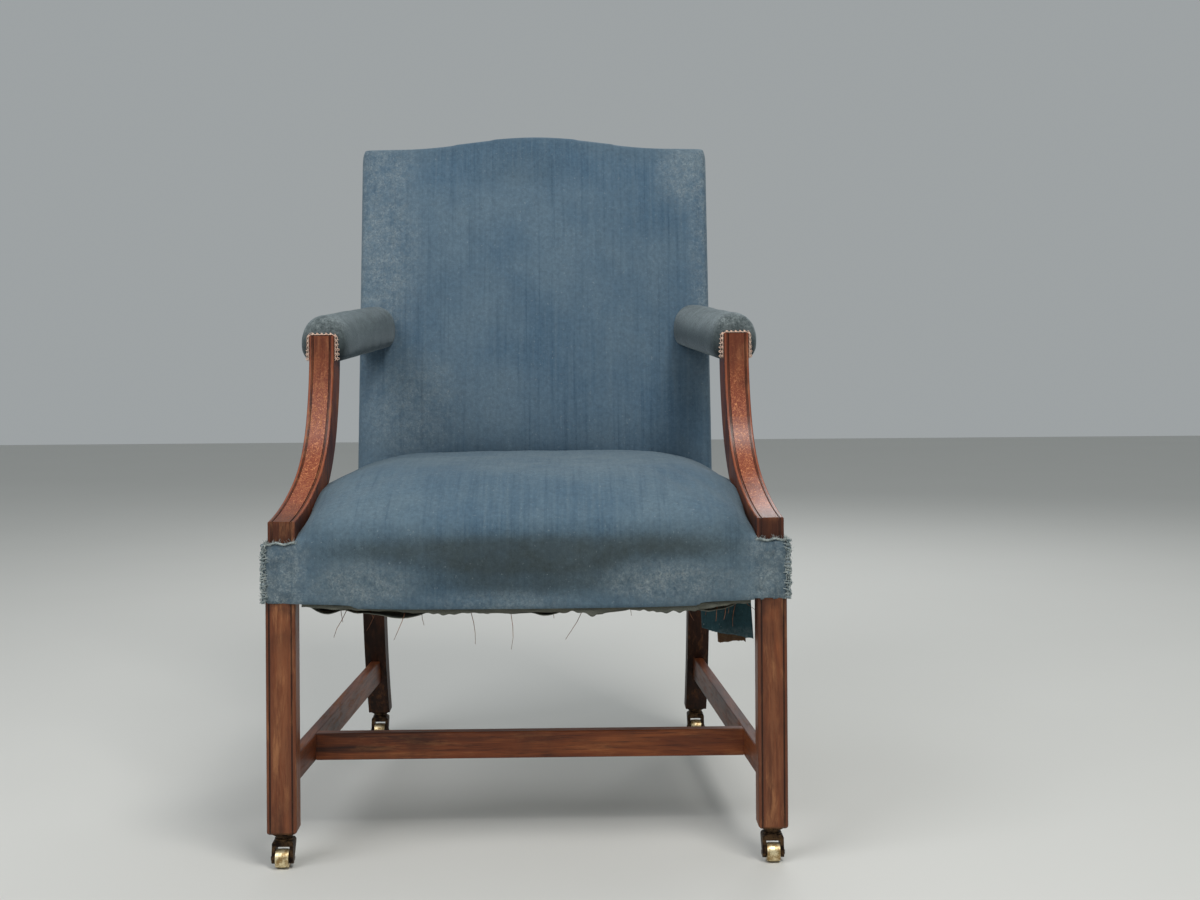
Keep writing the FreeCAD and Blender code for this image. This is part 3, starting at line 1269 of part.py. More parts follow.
def castor_horn(side, rear, label):
    body = new_body(label, castor_frame(side, rear))
    half = "dims.horn_width / 2"
    add(body, "horn", "YZ_Plane", horn_side_view(), f"-{half}", "dims.horn_width")
    top = size("dims.crown_underside + dims.crown_thickness")

    def on_shoulder(edge):
        return all(abs(v.Point.z - top) < 0.01 for v in edge.Vertexes) and abs(edge.CenterOfMass.x) > 1

    dress_edges(body, "Fillet", "shoulders", "dims.horn_round", on_shoulder)
    slot = "(dims.horn_width - 2 * dims.cheek_thickness)"
    opening = rectangle("-40", "40", "-5", "dims.crown_underside")
    cut(body, "wheel_slot", "YZ_Plane", opening, f"-{slot} / 2", slot)
    collar, crown = "dims.collar_diameter / 2", "(dims.crown_underside + dims.crown_thickness)"
    face = "(dims.castor_rise - dims.plate_thickness - dims.swivel_gap)"
    waist = f"{collar} - 1.6"
    rings = [("0", f"{crown} - 2"), (collar, f"{crown} - 2"),
             (collar, f"{crown} + 2"), (waist, f"{crown} + 2.6"),
             (waist, f"{face} - 2.6"), (collar, f"{face} - 2"), (collar, face), ("0", face)]
    turn_solid(body, "collar", rings, "Z_Axis")
    bore(body, "pivot_bore", "XY_Plane", ("0", "0"), "dims.pivot_diameter + 2 * dims.running_gap",
         "dims.crown_underside - 1", "dims.castor_rise")
    bore(body, "head_room", "XY_Plane", ("0", "0"), "dims.pivot_head + 2 * dims.swivel_gap",
         "dims.crown_underside - 1", "dims.pivot_head_height + dims.swivel_gap + 1")
    bore(body, "axle_bore", "YZ_Plane", ("-dims.castor_trail", "dims.wheel_diameter / 2"),
         "dims.axle_diameter + 2 * dims.running_gap", f"-{half} - 1", "dims.horn_width + 2")
    return keep(body, label)


def castor_axle(side, rear, label):
    body = new_body(label, castor_frame(side, rear, axle=True))
    half, pin, head = "(dims.horn_width / 2 + 0.1)", "dims.axle_diameter / 2", "dims.axle_head / 2"
    out = f"({half} + dims.axle_head_height)"
    corners = [(f"-{out}", "0"), (out, "0"), (out, f"{head} - 1"),
               (f"{half} + 0.3", head), (half, head), (half, pin),
               (f"-{half}", pin), (f"-{half}", head), (f"-{half} - 0.3", head), (f"-{out}", f"{head} - 1")]
    turn_solid(body, "pin", corners, "X_Axis")
    return keep(body, label)


def castor_wheel(side, rear, label):
    """Barrel wheel, a little fuller in the middle of its tread."""
    body = new_body(label, castor_frame(side, rear, axle=True))
    half, rim = "(dims.wheel_width / 2)", "(dims.wheel_diameter / 2)"
    hole, edge = "(dims.axle_diameter / 2 + dims.running_gap)", "(dims.wheel_diameter / 2 - dims.wheel_crown)"
    tread = f"({half}^2 + dims.wheel_crown^2) / (2 * dims.wheel_crown)"
    corners = [(f"-{half}", hole), (half, hole), (half, edge, tread, 1), (f"-{half}", edge)]
    turn_solid(body, "wheel", corners, "X_Axis")
    return keep(body, label)


def castors():
    screws = []
    for rear in (False, True):
        for side in (LEFT, RIGHT):
            corner = ("rear_" if rear else "front_") + SIDE_NAME[side]
            castor_plate(side, rear, "castor_plate_" + corner)
            castor_horn(side, rear, "castor_horn_" + corner)
            castor_axle(side, rear, "castor_axle_" + corner)
            castor_wheel(side, rear, "castor_wheel_" + corner)
            screws += screw_copies(screw_places(side, rear), False)
    item = doc.addObject("Part::Feature", "castor_screws")
    item.Shape = Part.makeCompound(screws)
    return keep(item, "castor_screws")


def build():
    for side in (LEFT, RIGHT):
        front_leg(side)
        rear_post(side)
        side_rail(side)
        side_stretcher(side)
        arm_support(side)
        arm_rail(side)
        arm_pad(side)
        arm_braid(side)
    level_rail("front_seat_rail", f"({HALF_FRONT} - dims.leg_size)", FRONT)
    level_rail("rear_seat_rail", f"({HALF_REAR} - dims.post_width)",
               f"({POST_FACE} + dims.post_depth - dims.rail_thickness)")
    corner_blocks()
    cross_stretcher()
    crest_rail()
    lower_back_rail()
    back_webbing()
    back_hessian()
    back_pad()
    outside_back()
    seat_webbing()
    seat_hessian()
    seat_pad()
    bottom_cloth()
    cover_flap()
    castors()


def check_and_export():
    doc.recompute()
    faults = [item.Label for item in doc.Objects if "Invalid" in item.State or "Error" in item.State]
    for item in finished:
        if item.Shape.isNull() or not item.Shape.isValid() or not item.Shape.Solids:
            faults.append(item.Label)
    if faults:
        raise RuntimeError("pieces with faults: " + ", ".join(faults))
    os.makedirs("parts", exist_ok=True)
    for item in finished:
        item.Shape.exportStep(f"parts/{item.Label}.step")
    print(len(finished), "pieces written")


build()
check_and_export()
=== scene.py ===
"""Visual model of an open armchair: worn velvet over a wooden frame, on brass castors."""

import logging
import math
import random
from collections.abc import Callable, Sequence
from dataclasses import dataclass
from enum import Enum

import bmesh
import bpy
from bpy.types import Material, Node, NodeSocket, Object
from mathutils import Matrix, Vector, noise


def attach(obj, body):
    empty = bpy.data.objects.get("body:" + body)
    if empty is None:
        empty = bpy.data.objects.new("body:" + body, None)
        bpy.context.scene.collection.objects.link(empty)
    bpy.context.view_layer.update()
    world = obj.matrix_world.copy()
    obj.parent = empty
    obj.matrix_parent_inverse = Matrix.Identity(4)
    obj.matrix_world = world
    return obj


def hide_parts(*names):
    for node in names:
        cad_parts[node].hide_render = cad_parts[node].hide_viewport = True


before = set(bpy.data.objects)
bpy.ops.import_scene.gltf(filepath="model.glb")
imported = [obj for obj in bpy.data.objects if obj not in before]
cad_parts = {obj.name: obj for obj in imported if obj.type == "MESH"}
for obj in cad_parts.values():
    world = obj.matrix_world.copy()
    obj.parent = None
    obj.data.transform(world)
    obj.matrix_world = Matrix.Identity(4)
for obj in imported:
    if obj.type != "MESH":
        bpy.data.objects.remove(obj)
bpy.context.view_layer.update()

LOG = logging.getLogger("armchair")
CHAIR = "chair"
Point = tuple[float, float, float]
Colour = tuple[float, float, float]
Height = Callable[[Vector], float]


class Side(Enum):
    """The chair's two sides, as seen by someone who faces it."""

    LEFT = -1
    RIGHT = 1

    @property
    def word(self) -> str:
        """The side's name as it stands in the names of pieces."""
        return self.name.lower()


class Grain(Enum):
    """The way that the grain of a wooden piece runs."""

    ACROSS = (1, 0, 0)
    DEEP = (0, 1, 0)
    UPRIGHT = (0, 0, 1)


def tone(red: int, green: int, blue: int) -> Colour:
    """Linear colour of a screen colour.

    Args:
        red: Red from 0 to 255.
        green: Green from 0 to 255.
        blue: Blue from 0 to 255.

    Returns:
        The colour in linear light.
    """
    shares = (value / 255 for value in (red, green, blue))
    return tuple(share / 12.92 if share < 0.04045 else ((share + 0.055) / 1.055) ** 2.4 for share in shares)


def blend_step(low: float, high: float, value: float) -> float:
    """Smooth step from 0 at low to 1 at high."""
    share = min(max((value - low) / (high - low), 0.0), 1.0)
    return share * share * (3 - 2 * share)


def curve_through(knots: Sequence[tuple[float, float]], place: float) -> float:
    """Height of a smooth curve through knots.

    Args:
        knots: Places and heights, in order.
        place: Where the height is wanted.

    Returns:
        The height there, held level beyond the ends.
    """
    if place <= knots[0][0]:
        return knots[0][1]
    for index in range(len(knots) - 1):
        (start, low), (end, high) = knots[index], knots[index + 1]
        if place > end:
            continue
        before = knots[max(index - 1, 0)]
        after = knots[min(index + 2, len(knots) - 1)]
        run = end - start
        slope_low = (high - before[1]) / (end - before[0]) * run
        slope_high = (after[1] - low) / (after[0] - start) * run
        t = (place - start) / run
        return ((2 * t ** 3 - 3 * t ** 2 + 1) * low + (t ** 3 - 2 * t ** 2 + t) * slope_low
                + (3 * t ** 2 - 2 * t ** 3) * high + (t ** 3 - t ** 2) * slope_high)
    return knots[-1][1]


@dataclass(frozen=True)
class FrameSizes:
    """Sizes of the wooden frame that the upholstery follows, in metres and degrees."""

    front_half: float = 0.330
    rear_half: float = 0.280
    front_y: float = -0.33535
    seat_run: float = 0.550
    rail_low: float = 0.338
    rail_top: float = 0.410
    leg: float = 0.038
    post_depth: float = 0.040
    post_width: float = 0.034
    upright: float = 0.028
    rake: float = 9.3
    crest_shoulder: float = 0.567
    crest_rise: float = 0.019
    crest_half_run: float = 0.215
    support_inset: float = 0.003
    support_width: float = 0.035
    support_setback: float = 0.004
    support_block: float = 0.029
    support_depth: float = 0.038
    support_neck: float = 0.011
    support_sweep: tuple[tuple[float, int, int], ...] = ((0.394, 8, 27), (0.142, 27, 70), (0.307, 70, 90))
    arm_drop: float = 0.019
    arm_slope: float = 2.6

    @property
    def post_y(self) -> float:
        """Front face of the rear posts at the seat rail."""
        return self.front_y + self.seat_run

    @property
    def taper(self) -> float:
        """How much a side of the chair comes in for each unit of depth."""
        return (self.front_half - self.rear_half) / self.seat_run

    @property
    def arm_middle(self) -> float:
        """Outer face of the leg in to the middle of the arm support."""
        return self.support_inset + self.support_width / 2

    def side_half(self, y: float) -> float:
        """Half width of the seat frame at a depth.

        Args:
            y: Depth in the chair's frame.

        Returns:
            Distance from the middle to the outside of the side rail.
        """
        slope = (self.front_half - self.rear_half) / (self.seat_run - self.leg)
        run = min(max(y - self.front_y - self.leg, 0.0), self.seat_run - self.leg)
        return self.front_half - run * slope

    def on_back(self, across: float, behind: float, up: float) -> Vector:
        """Point of the leaning back.

        Args:
            across: Distance to the right of the middle.
            behind: Distance behind the front of the posts.
            up: Distance above the seat rail along the posts.

        Returns:
            The point in the chair's frame.
        """
        lean = math.radians(self.rake)
        return Vector((across, self.post_y + behind * math.cos(lean) + up * math.sin(lean),
                       self.rail_top - behind * math.sin(lean) + up * math.cos(lean)))

    def crest_height(self, across: float) -> float:
        """Height of the crest's top above the seat rail along the posts, at a distance from the middle."""
        share = min(abs(across) / self.crest_half_run, 1.0)
        return self.crest_shoulder + self.crest_rise * 0.5 * (1 + math.cos(math.pi * share))

    def side_place(self, side: Side) -> Matrix:
        """Frame of one side: origin at the leg's outer front corner, Y back along the side."""
        turn = Matrix.Rotation(side.value * math.atan(self.taper), 4, "Z")
        return Matrix.Translation((side.value * self.front_half, self.front_y, 0)) @ turn

    def support_curve(self, behind: float, steps: int = 7) -> list[tuple[float, float]]:
        """Points up the front of an arm support.

        Args:
            behind: How far behind the front curve the points lie, square to it.
            steps: Number of points on each arc.

        Returns:
            Distance behind the leg's front and height of each point.
        """
        run, rise = self.support_setback, self.rail_top + self.support_block
        points = []
        for radius, low, high in self.support_sweep:
            start, end = math.radians(low), math.radians(high)
            centre = (run - radius * math.sin(start), rise + radius * math.cos(start))
            for step in range(steps + 1):
                angle = start + (end - start) * step / steps
                reach = radius + behind
                points.append((centre[0] + reach * math.sin(angle), centre[1] - reach * math.cos(angle)))
            run += radius * (math.sin(end) - math.sin(start))
            rise += radius * (math.cos(start) - math.cos(end))
        return points

    @property
    def support_run(self) -> float:
        """Distance from the leg's front to the front of the support's top."""
        return self.support_curve(0)[-1][0]

    @property
    def support_top(self) -> float:
        """Height of the top of the arm supports."""
        return self.support_curve(0)[-1][1] + self.support_neck

    def arm_place(self, side: Side) -> Matrix:
        """Frame of an arm: origin behind the support at the arm rail's middle, Y back along the arm.

        Args:
            side: The chair's side.

        Returns:
            The frame's matrix.
        """
        start = (-side.value * self.arm_middle, self.support_run + self.support_depth,
                 self.support_top - self.arm_drop)
        slope = Matrix.Rotation(math.radians(self.arm_slope), 4, "X")
        return self.side_place(side) @ Matrix.Translation(start) @ slope


SIZES = FrameSizes()


class Shader:
    """Node tree of one material, with short calls for the nodes that the finishes share."""

    def __init__(self, name: str) -> None:
        """Start an empty tree with a surface shader.

        Args:
            name: Name of the material.
        """
        self.material = bpy.data.materials.new(name)
        self.material.use_nodes = True
        self.tree = self.material.node_tree
        self.tree.nodes.clear()
        output = self.node("ShaderNodeOutputMaterial")
        self.surface = self.node("ShaderNodeBsdfPrincipled")
        self.tree.links.new(self.surface.outputs[0], output.inputs[0])
        self.place = self.node("ShaderNodeTexCoord").outputs["Object"]

    def node(self, kind: str) -> Node:
        """Add a node of a kind."""
        return self.tree.nodes.new(kind)

    def feed(self, socket: NodeSocket, value: NodeSocket | float | Colour) -> None:
        """Give a socket a value or another node's output.

        Args:
            socket: The input to feed.
            value: An output socket, a number or a colour.
        """
        if isinstance(value, NodeSocket):
            self.tree.links.new(value, socket)
        elif isinstance(value, tuple) and len(value) == 3 and socket.type == "RGBA":
            socket.default_value = (*value, 1.0)
        else:
            socket.default_value = value

    def scaled(self, scale: Point) -> NodeSocket:
        """Coordinates stretched along the chair's axes.

        Args:
            scale: Factor along each axis.

        Returns:
            The stretched coordinates' socket.
        """
        mapping = self.node("ShaderNodeMapping")
        self.feed(mapping.inputs["Vector"], self.place)
        mapping.inputs["Scale"].default_value = scale
        return mapping.outputs[0]

    def cloud(self, scale: float, detail: float = 3, place: NodeSocket | None = None,
              rough: float = 0.5, twist: float = 0) -> NodeSocket:
        """Noise from 0 to 1.

        Args:
            scale: Features for each metre.
            detail: Number of finer layers.
            place: Coordinates, if not the object's own.
            rough: Strength of the finer layers.
            twist: Distortion.

        Returns:
            The noise value's socket.
        """
        made = self.node("ShaderNodeTexNoise")
        self.feed(made.inputs["Vector"], place or self.place)
        made.inputs["Scale"].default_value = scale
        made.inputs["Detail"].default_value = detail
        made.inputs["Roughness"].default_value = rough
        made.inputs["Distortion"].default_value = twist
        return made.outputs[0]

    def bands(self, scale: float, direction: str, twist: float = 0.0) -> NodeSocket:
        """Even threads square to one axis.

        Args:
            scale: Threads for each metre, before the wave's own factor.
            direction: X, Y or Z.
            twist: Unevenness.

        Returns:
            The wave's socket, from 0 to 1.
        """
        made = self.node("ShaderNodeTexWave")
        made.bands_direction = direction
        self.feed(made.inputs["Vector"], self.place)
        made.inputs["Scale"].default_value = scale
        made.inputs["Distortion"].default_value = twist
        made.inputs["Detail"].default_value = 1
        return made.outputs["Fac"]

    def work(self, kind: str, first: NodeSocket | float, second: NodeSocket | float = 0.0) -> NodeSocket:
        """One step of arithmetic.

        Args:
            kind: Blender's name of the step.
            first: First value.
            second: Second value, where the step takes one.

        Returns:
            The result's socket.
        """
        made = self.node("ShaderNodeMath")
        made.operation = kind
        self.feed(made.inputs[0], first)
        self.feed(made.inputs[1], second)
        return made.outputs[0]

    def times(self, first: NodeSocket, second: NodeSocket | float) -> NodeSocket:
        """Product of two values."""
        return self.work("MULTIPLY", first, second)

    def distance(self, value: NodeSocket, middle: float) -> NodeSocket:
        """How far a value lies from a middle, on either side."""
        return self.work("ABSOLUTE", self.work("SUBTRACT", value, middle))

    def stripe(self, value: NodeSocket, middle: float, flat: float, reach: float) -> NodeSocket:
        """Soft stripe where a value is near a middle.

        Args:
            value: The value.
            middle: The value along the stripe's middle.
            flat: Half width of the full stripe.
            reach: Half width at which it has faded out.

        Returns:
            1 on the stripe, falling to 0 beside it.
        """
        return self.times(self.between(value, middle - reach, middle - flat),
                          self.between(value, middle + reach, middle + flat))

    def between(self, value: NodeSocket, low: float, high: float) -> NodeSocket:
        """Smooth step of a value.

        Args:
            value: The value.
            low: Where the step is 0.
            high: Where it is 1.

        Returns:
            The step's socket.
        """
        made = self.node("ShaderNodeMapRange")
        made.interpolation_type = "SMOOTHSTEP"
        self.feed(made.inputs["Value"], value)
        made.inputs["From Min"].default_value = low
        made.inputs["From Max"].default_value = high
        return made.outputs[0]

    def spread(self, value: NodeSocket, low: float, high: float) -> NodeSocket:
        """A value from 0 to 1 moved to another range.

        Args:
            value: The value.
            low: What 0 becomes.
            high: What 1 becomes.

        Returns:
            The moved value's socket.
        """
        made = self.node("ShaderNodeMapRange")
        self.feed(made.inputs["Value"], value)
        made.inputs["To Min"].default_value = low
        made.inputs["To Max"].default_value = high
        return made.outputs[0]

    def mix(self, share: NodeSocket | float, first: NodeSocket | Colour, second: NodeSocket | Colour,
            way: str = "MIX") -> NodeSocket:
        """Mix of two colours.

        Args:
            share: How much of the second colour.
            first: First colour.
            second: Second colour.
            way: Blender's name of the blend.

        Returns:
            The mixed colour's socket.
        """
        made = self.node("ShaderNodeMix")
        made.data_type = "RGBA"
        made.blend_type = way
        self.feed(made.inputs[0], share)
        self.feed(made.inputs[6], first)
        self.feed(made.inputs[7], second)
        return made.outputs[2]

    def ramp(self, value: NodeSocket, stops: Sequence[tuple[float, Colour]]) -> NodeSocket:
        """Colours along a value.

        Args:
            value: A value from 0 to 1.
            stops: Places and colours, in order.

        Returns:
            The colour's socket.
        """
        made = self.node("ShaderNodeValToRGB")
        self.feed(made.inputs[0], value)
        parts = made.color_ramp.elements
        while len(parts) < len(stops):
            parts.new(0.5)
        for part, (place, colour) in zip(parts, stops):
            part.position = place
            part.color = (*colour, 1)
        return made.outputs[0]

    def painted(self, name: str) -> NodeSocket:
        """A value that was painted on the mesh's points.

        Args:
            name: Name of the painted value.

        Returns:
            The value's socket.
        """
        made = self.node("ShaderNodeAttribute")
        made.attribute_name = name
        return made.outputs["Fac"]

    def axes(self) -> tuple[NodeSocket, NodeSocket, NodeSocket]:
        """The three coordinates of a point as values.

        Returns:
            The sockets of x, y and z.
        """
        made = self.node("ShaderNodeSeparateXYZ")
        self.feed(made.inputs[0], self.place)
        return made.outputs[0], made.outputs[1], made.outputs[2]

    def raise_by(self, height: NodeSocket, depth: float, strength: float = 1.0) -> None:
        """Add relief to the surface.

        Args:
            height: Relief from 0 to 1.
            depth: Its depth in metres.
            strength: Its strength.
        """
        made = self.node("ShaderNodeBump")
        made.inputs["Strength"].default_value = strength
        made.inputs["Distance"].default_value = depth
        self.feed(made.inputs["Height"], height)
        before = self.surface.inputs["Normal"].links
        if before:
            self.feed(made.inputs["Normal"], before[0].from_socket)
        self.feed(self.surface.inputs["Normal"], made.outputs[0])

    def set(self, name: str, value: NodeSocket | float | Colour) -> None:
        """Set or link one of the surface's inputs."""
        self.feed(self.surface.inputs[name], value)


@dataclass(frozen=True)
class Velvet:
    """Faded cut velvet: streaked pile, rubbed pale and soiled in places, with painted sheen and painted shade
    where the pieces paint them.
    """

    name: str
    pile: Point
    blue: Colour = tone(70, 94, 112)
    faded: Colour = tone(95, 114, 125)
    # The next two colours stand for soiling with painted shade, and for rubbing with painted sheen and
    # highlights.
    soiled_and_shaded: Colour = tone(58, 67, 67)
    rubbed_and_highlit: Colour = tone(150, 160, 161)
    deep: Colour = tone(52, 74, 92)
    lint: Colour = tone(150, 160, 162)
    bloom: Colour = tone(190, 205, 212)
    sheen: float = 0.22

    def make(self) -> Material:
        """Build the material.

        Returns:
            The velvet's material, which reads the painted values of rubbing with painted sheen, and of
            soiling with painted shade.
        """
        made = Shader(self.name)
        rubbing_and_sheen = made.painted("rub")
        broad = made.between(made.cloud(6, 4, rough=0.6), 0.25, 0.8)
        colour = made.mix(broad, self.blue, self.faded)
        streaks = made.cloud(1, 3, made.scaled(self.pile), rough=0.65)
        colour = made.mix(made.spread(made.between(streaks, 0.42, 0.80), 0, 0.55), colour, self.faded)
        colour = made.mix(made.spread(made.between(streaks, 0.5, 0.2), 0, 0.50), colour, self.deep)
        patches = made.cloud(34, 5, rough=0.7)
        # Darkening by soiling, and by the painted shade that the seat, the back and the arms put into the
        # same painted value.
        soil_and_shade = made.times(made.painted("soil_and_shade"), made.spread(patches, 0.55, 1.25))
        colour = made.mix(made.between(soil_and_shade, 0.0, 1.25), colour, self.soiled_and_shaded)
        blotches = made.cloud(60, 7, rough=0.82)
        tufts = made.cloud(360, 4, rough=0.72, twist=0.8)
        # Paling by rubbing, and by the painted sheen that the arms put into the same painted value.
        worn = made.times(rubbing_and_sheen, made.between(blotches, 0.28, 0.74))
        rub = made.times(worn, made.spread(made.between(tufts, 0.38, 0.62), 0.40, 1.35))
        colour = made.mix(made.work("MINIMUM", rub, 0.85), colour, self.rubbed_and_highlit)
        hollows = made.times(rubbing_and_sheen, made.between(tufts, 0.46, 0.28))
        colour = made.mix(made.times(hollows, 0.75), colour, self.deep)
        mottle = made.cloud(190, 5, rough=0.7)
        uneven = made.ramp(mottle, ((0.25, (0.74, 0.74, 0.75)), (0.75, (1.2, 1.2, 1.19))))
        colour = made.mix(1.0, colour, uneven, "MULTIPLY")
        nap = made.cloud(1300, 2)
        tips = made.ramp(nap, ((0.2, (0.78, 0.78, 0.78)), (0.8, (1.18, 1.18, 1.18))))
        colour = made.mix(1.0, colour, tips, "MULTIPLY")
        specks = made.between(made.cloud(300, 3), 0.66, 0.76)
        colour = made.mix(made.spread(specks, 0, 0.4), colour, self.lint)
        made.set("Base Color", colour)
        made.set("Roughness", made.spread(patches, 0.78, 0.95))
        made.set("Specular IOR Level", 0.25)
        made.set("Sheen Weight", self.sheen)
        made.set("Sheen Roughness", 0.45)
        made.set("Sheen Tint", (*self.bloom, 1.0))
        made.raise_by(nap, 0.0006, 0.5)
        made.raise_by(mottle, 0.0010, 0.35)
        made.raise_by(made.times(rubbing_and_sheen, tufts), 0.0022, 0.45)
        return made.material


@dataclass(frozen=True)
class Mahogany:
    """Old polished mahogany: red-brown figure, dark pores and rubbed patches."""

    name: str
    grain: Grain
    dark: Colour = tone(44, 20, 10)
    middle: Colour = tone(102, 50, 26)
    light: Colour = tone(142, 80, 44)
    worn: Colour = tone(172, 116, 74)
    wear: float = 0.5
    gloss: float = 0.36
    shine: float = 0.33

    def stretch(self, across: float, along: float) -> Point:
        """Scale of a pattern that is drawn out along the grain."""
        return tuple(along if part else across for part in self.grain.value)

    def pores(self, made: Shader) -> NodeSocket:
        """Fine pores drawn out along the grain."""
        return made.cloud(1, 3, made.scaled(self.stretch(760, 26)), rough=0.6)

    def figure(self, made: Shader) -> NodeSocket:
        """Colour of the wood without wear.

        Args:
            made: The material's nodes.

        Returns:
            The figured colour.
        """
        flow = made.cloud(1, 5, made.scaled(self.stretch(46, 3.2)), rough=0.62, twist=0.7)
        colour = made.ramp(flow, ((0.28, self.dark), (0.5, self.middle), (0.74, self.light)))
        fine = made.cloud(1, 4, made.scaled(self.stretch(250, 9)), rough=0.7)
        colour = made.mix(made.spread(made.between(fine, 0.52, 0.72), 0, 0.5), colour, self.light)
        colour = made.mix(made.spread(made.between(fine, 0.48, 0.28), 0, 0.6), colour, self.dark)
        open_pores = made.between(self.pores(made), 0.56, 0.7)
        return made.mix(made.spread(open_pores, 0, 0.7), colour, self.dark)

    def finish(self, made: Shader, colour: NodeSocket) -> Material:
        """Wear, gloss and relief over a colour.

        Args:
            made: The material's nodes.
            colour: The figured colour.

        Returns:
            The finished material.
        """
        scuffs = made.cloud(1, 6, made.scaled(self.stretch(135, 17)), rough=0.72)
        regions = made.between(made.cloud(9, 3), 0.38, 0.58)
        patch = made.times(made.between(scuffs, 0.48, 0.68), regions)
        colour = made.mix(made.spread(patch, 0, self.wear), colour, self.worn)
        shade = made.between(made.cloud(16, 4), 0.5, 0.76)
        colour = made.mix(made.spread(shade, 0, 0.5), colour, self.dark)
        made.set("Base Color", colour)
        wearing = made.work("ADD", patch, made.spread(scuffs, 0, 0.35))
        made.set("Roughness", made.spread(wearing, self.gloss, self.gloss + 0.3))
        made.set("Specular IOR Level", self.shine)
        made.set("Coat Weight", 0.05)
        made.set("Coat Roughness", 0.3)
        made.raise_by(self.pores(made), 0.0004, 0.35)
        made.raise_by(scuffs, 0.0008, 0.25)
        return made.material

    def make(self) -> Material:
        """Build the material."""
        made = Shader(self.name)
        return self.finish(made, self.figure(made))


@dataclass(frozen=True)
class CarvedMahogany(Mahogany):
    """Mahogany of the arm supports: a rubbed, lively panel with a painted highlight on the lower curve,
    painted shade on the upper part and on the foot block, two dark lines and a pale bead on each side, the
    bead with rubbing and a painted highlight.

    Distances across are from the middle of the support, and heights are above the floor.
    """

    panel: Colour = tone(128, 62, 41)
    fleck: Colour = tone(226, 150, 100)
    bead: Colour = tone(156, 86, 58)
    # Dark colour of the painted shade on the upper part.
    dull: Colour = tone(82, 40, 30)
    panel_half: float = 0.0112
    line: float = 0.0112
    groove: float = 0.0136
    bead_edge: float = 0.0165
    bead_end: float = 0.0173
    block_low: float = 0.432
    block_top: float = 0.452
    lively_low: float = 0.56
    lively_top: float = 0.66
    upper_shade_low: float = 0.58
    upper_shade_top: float = 0.68

    def from_middle(self, made: Shader) -> NodeSocket:
        """Distance of a point from the middle of the support's width.

        Args:
            made: The material's nodes.

        Returns:
            The distance's socket.
        """
        x, y, _ = made.axes()
        taken_in = made.times(made.work("SUBTRACT", y, SIZES.front_y), SIZES.taper)
        across = made.work("ADD", made.work("ABSOLUTE", x), taken_in)
        return made.distance(across, SIZES.front_half - SIZES.arm_middle)

    def make(self) -> Material:
        """Build the material, with the rubbed panel along the middle of the support's width.

        Returns:
            The finished material.
        """
        made = Shader(self.name)
        colour = self.figure(made)
        height = made.axes()[2]
        off = self.from_middle(made)
        inside = made.between(off, self.panel_half + 0.002, self.panel_half - 0.0015)
        # The rubbed, flecked panel, made fuller and brighter on the lower curve as a painted highlight.
        low_part = made.between(height, self.lively_top, self.lively_low)
        flecks = made.cloud(300, 6, rough=0.8, twist=1.6)
        lively = made.mix(made.between(flecks, 0.49, 0.66), self.panel, self.fleck)
        amount = made.times(inside, made.spread(low_part, 0.22, 0.95))
        block = made.between(height, self.block_top, self.block_low)
        amount = made.times(amount, made.work("SUBTRACT", 1.0, block))
        colour = made.mix(amount, colour, lively)
        # Pale bead on each side: rubbing and a painted highlight along it.
        rubbed_and_highlit = made.times(made.between(off, self.groove, self.groove + 0.001),
                            made.between(off, self.bead_end, self.bead_edge))
        colour = made.mix(made.times(rubbed_and_highlit, 0.6), colour, self.bead)
        # Painted shade: the upper part of the support darker.
        dull = made.times(made.between(height, self.upper_shade_low, self.upper_shade_top), 0.36)
        colour = made.mix(dull, colour, self.dull)
        for middle, share in ((self.groove, 0.8), (self.line, 0.7)):
            stripe = made.stripe(off, middle, 0.0003, 0.0009)
            colour = made.mix(made.times(stripe, share), colour, self.dark)
        # Painted shade on the foot block at the bottom of the support.
        colour = made.mix(made.times(block, 0.72), colour, self.dark)
        return self.finish(made, colour)


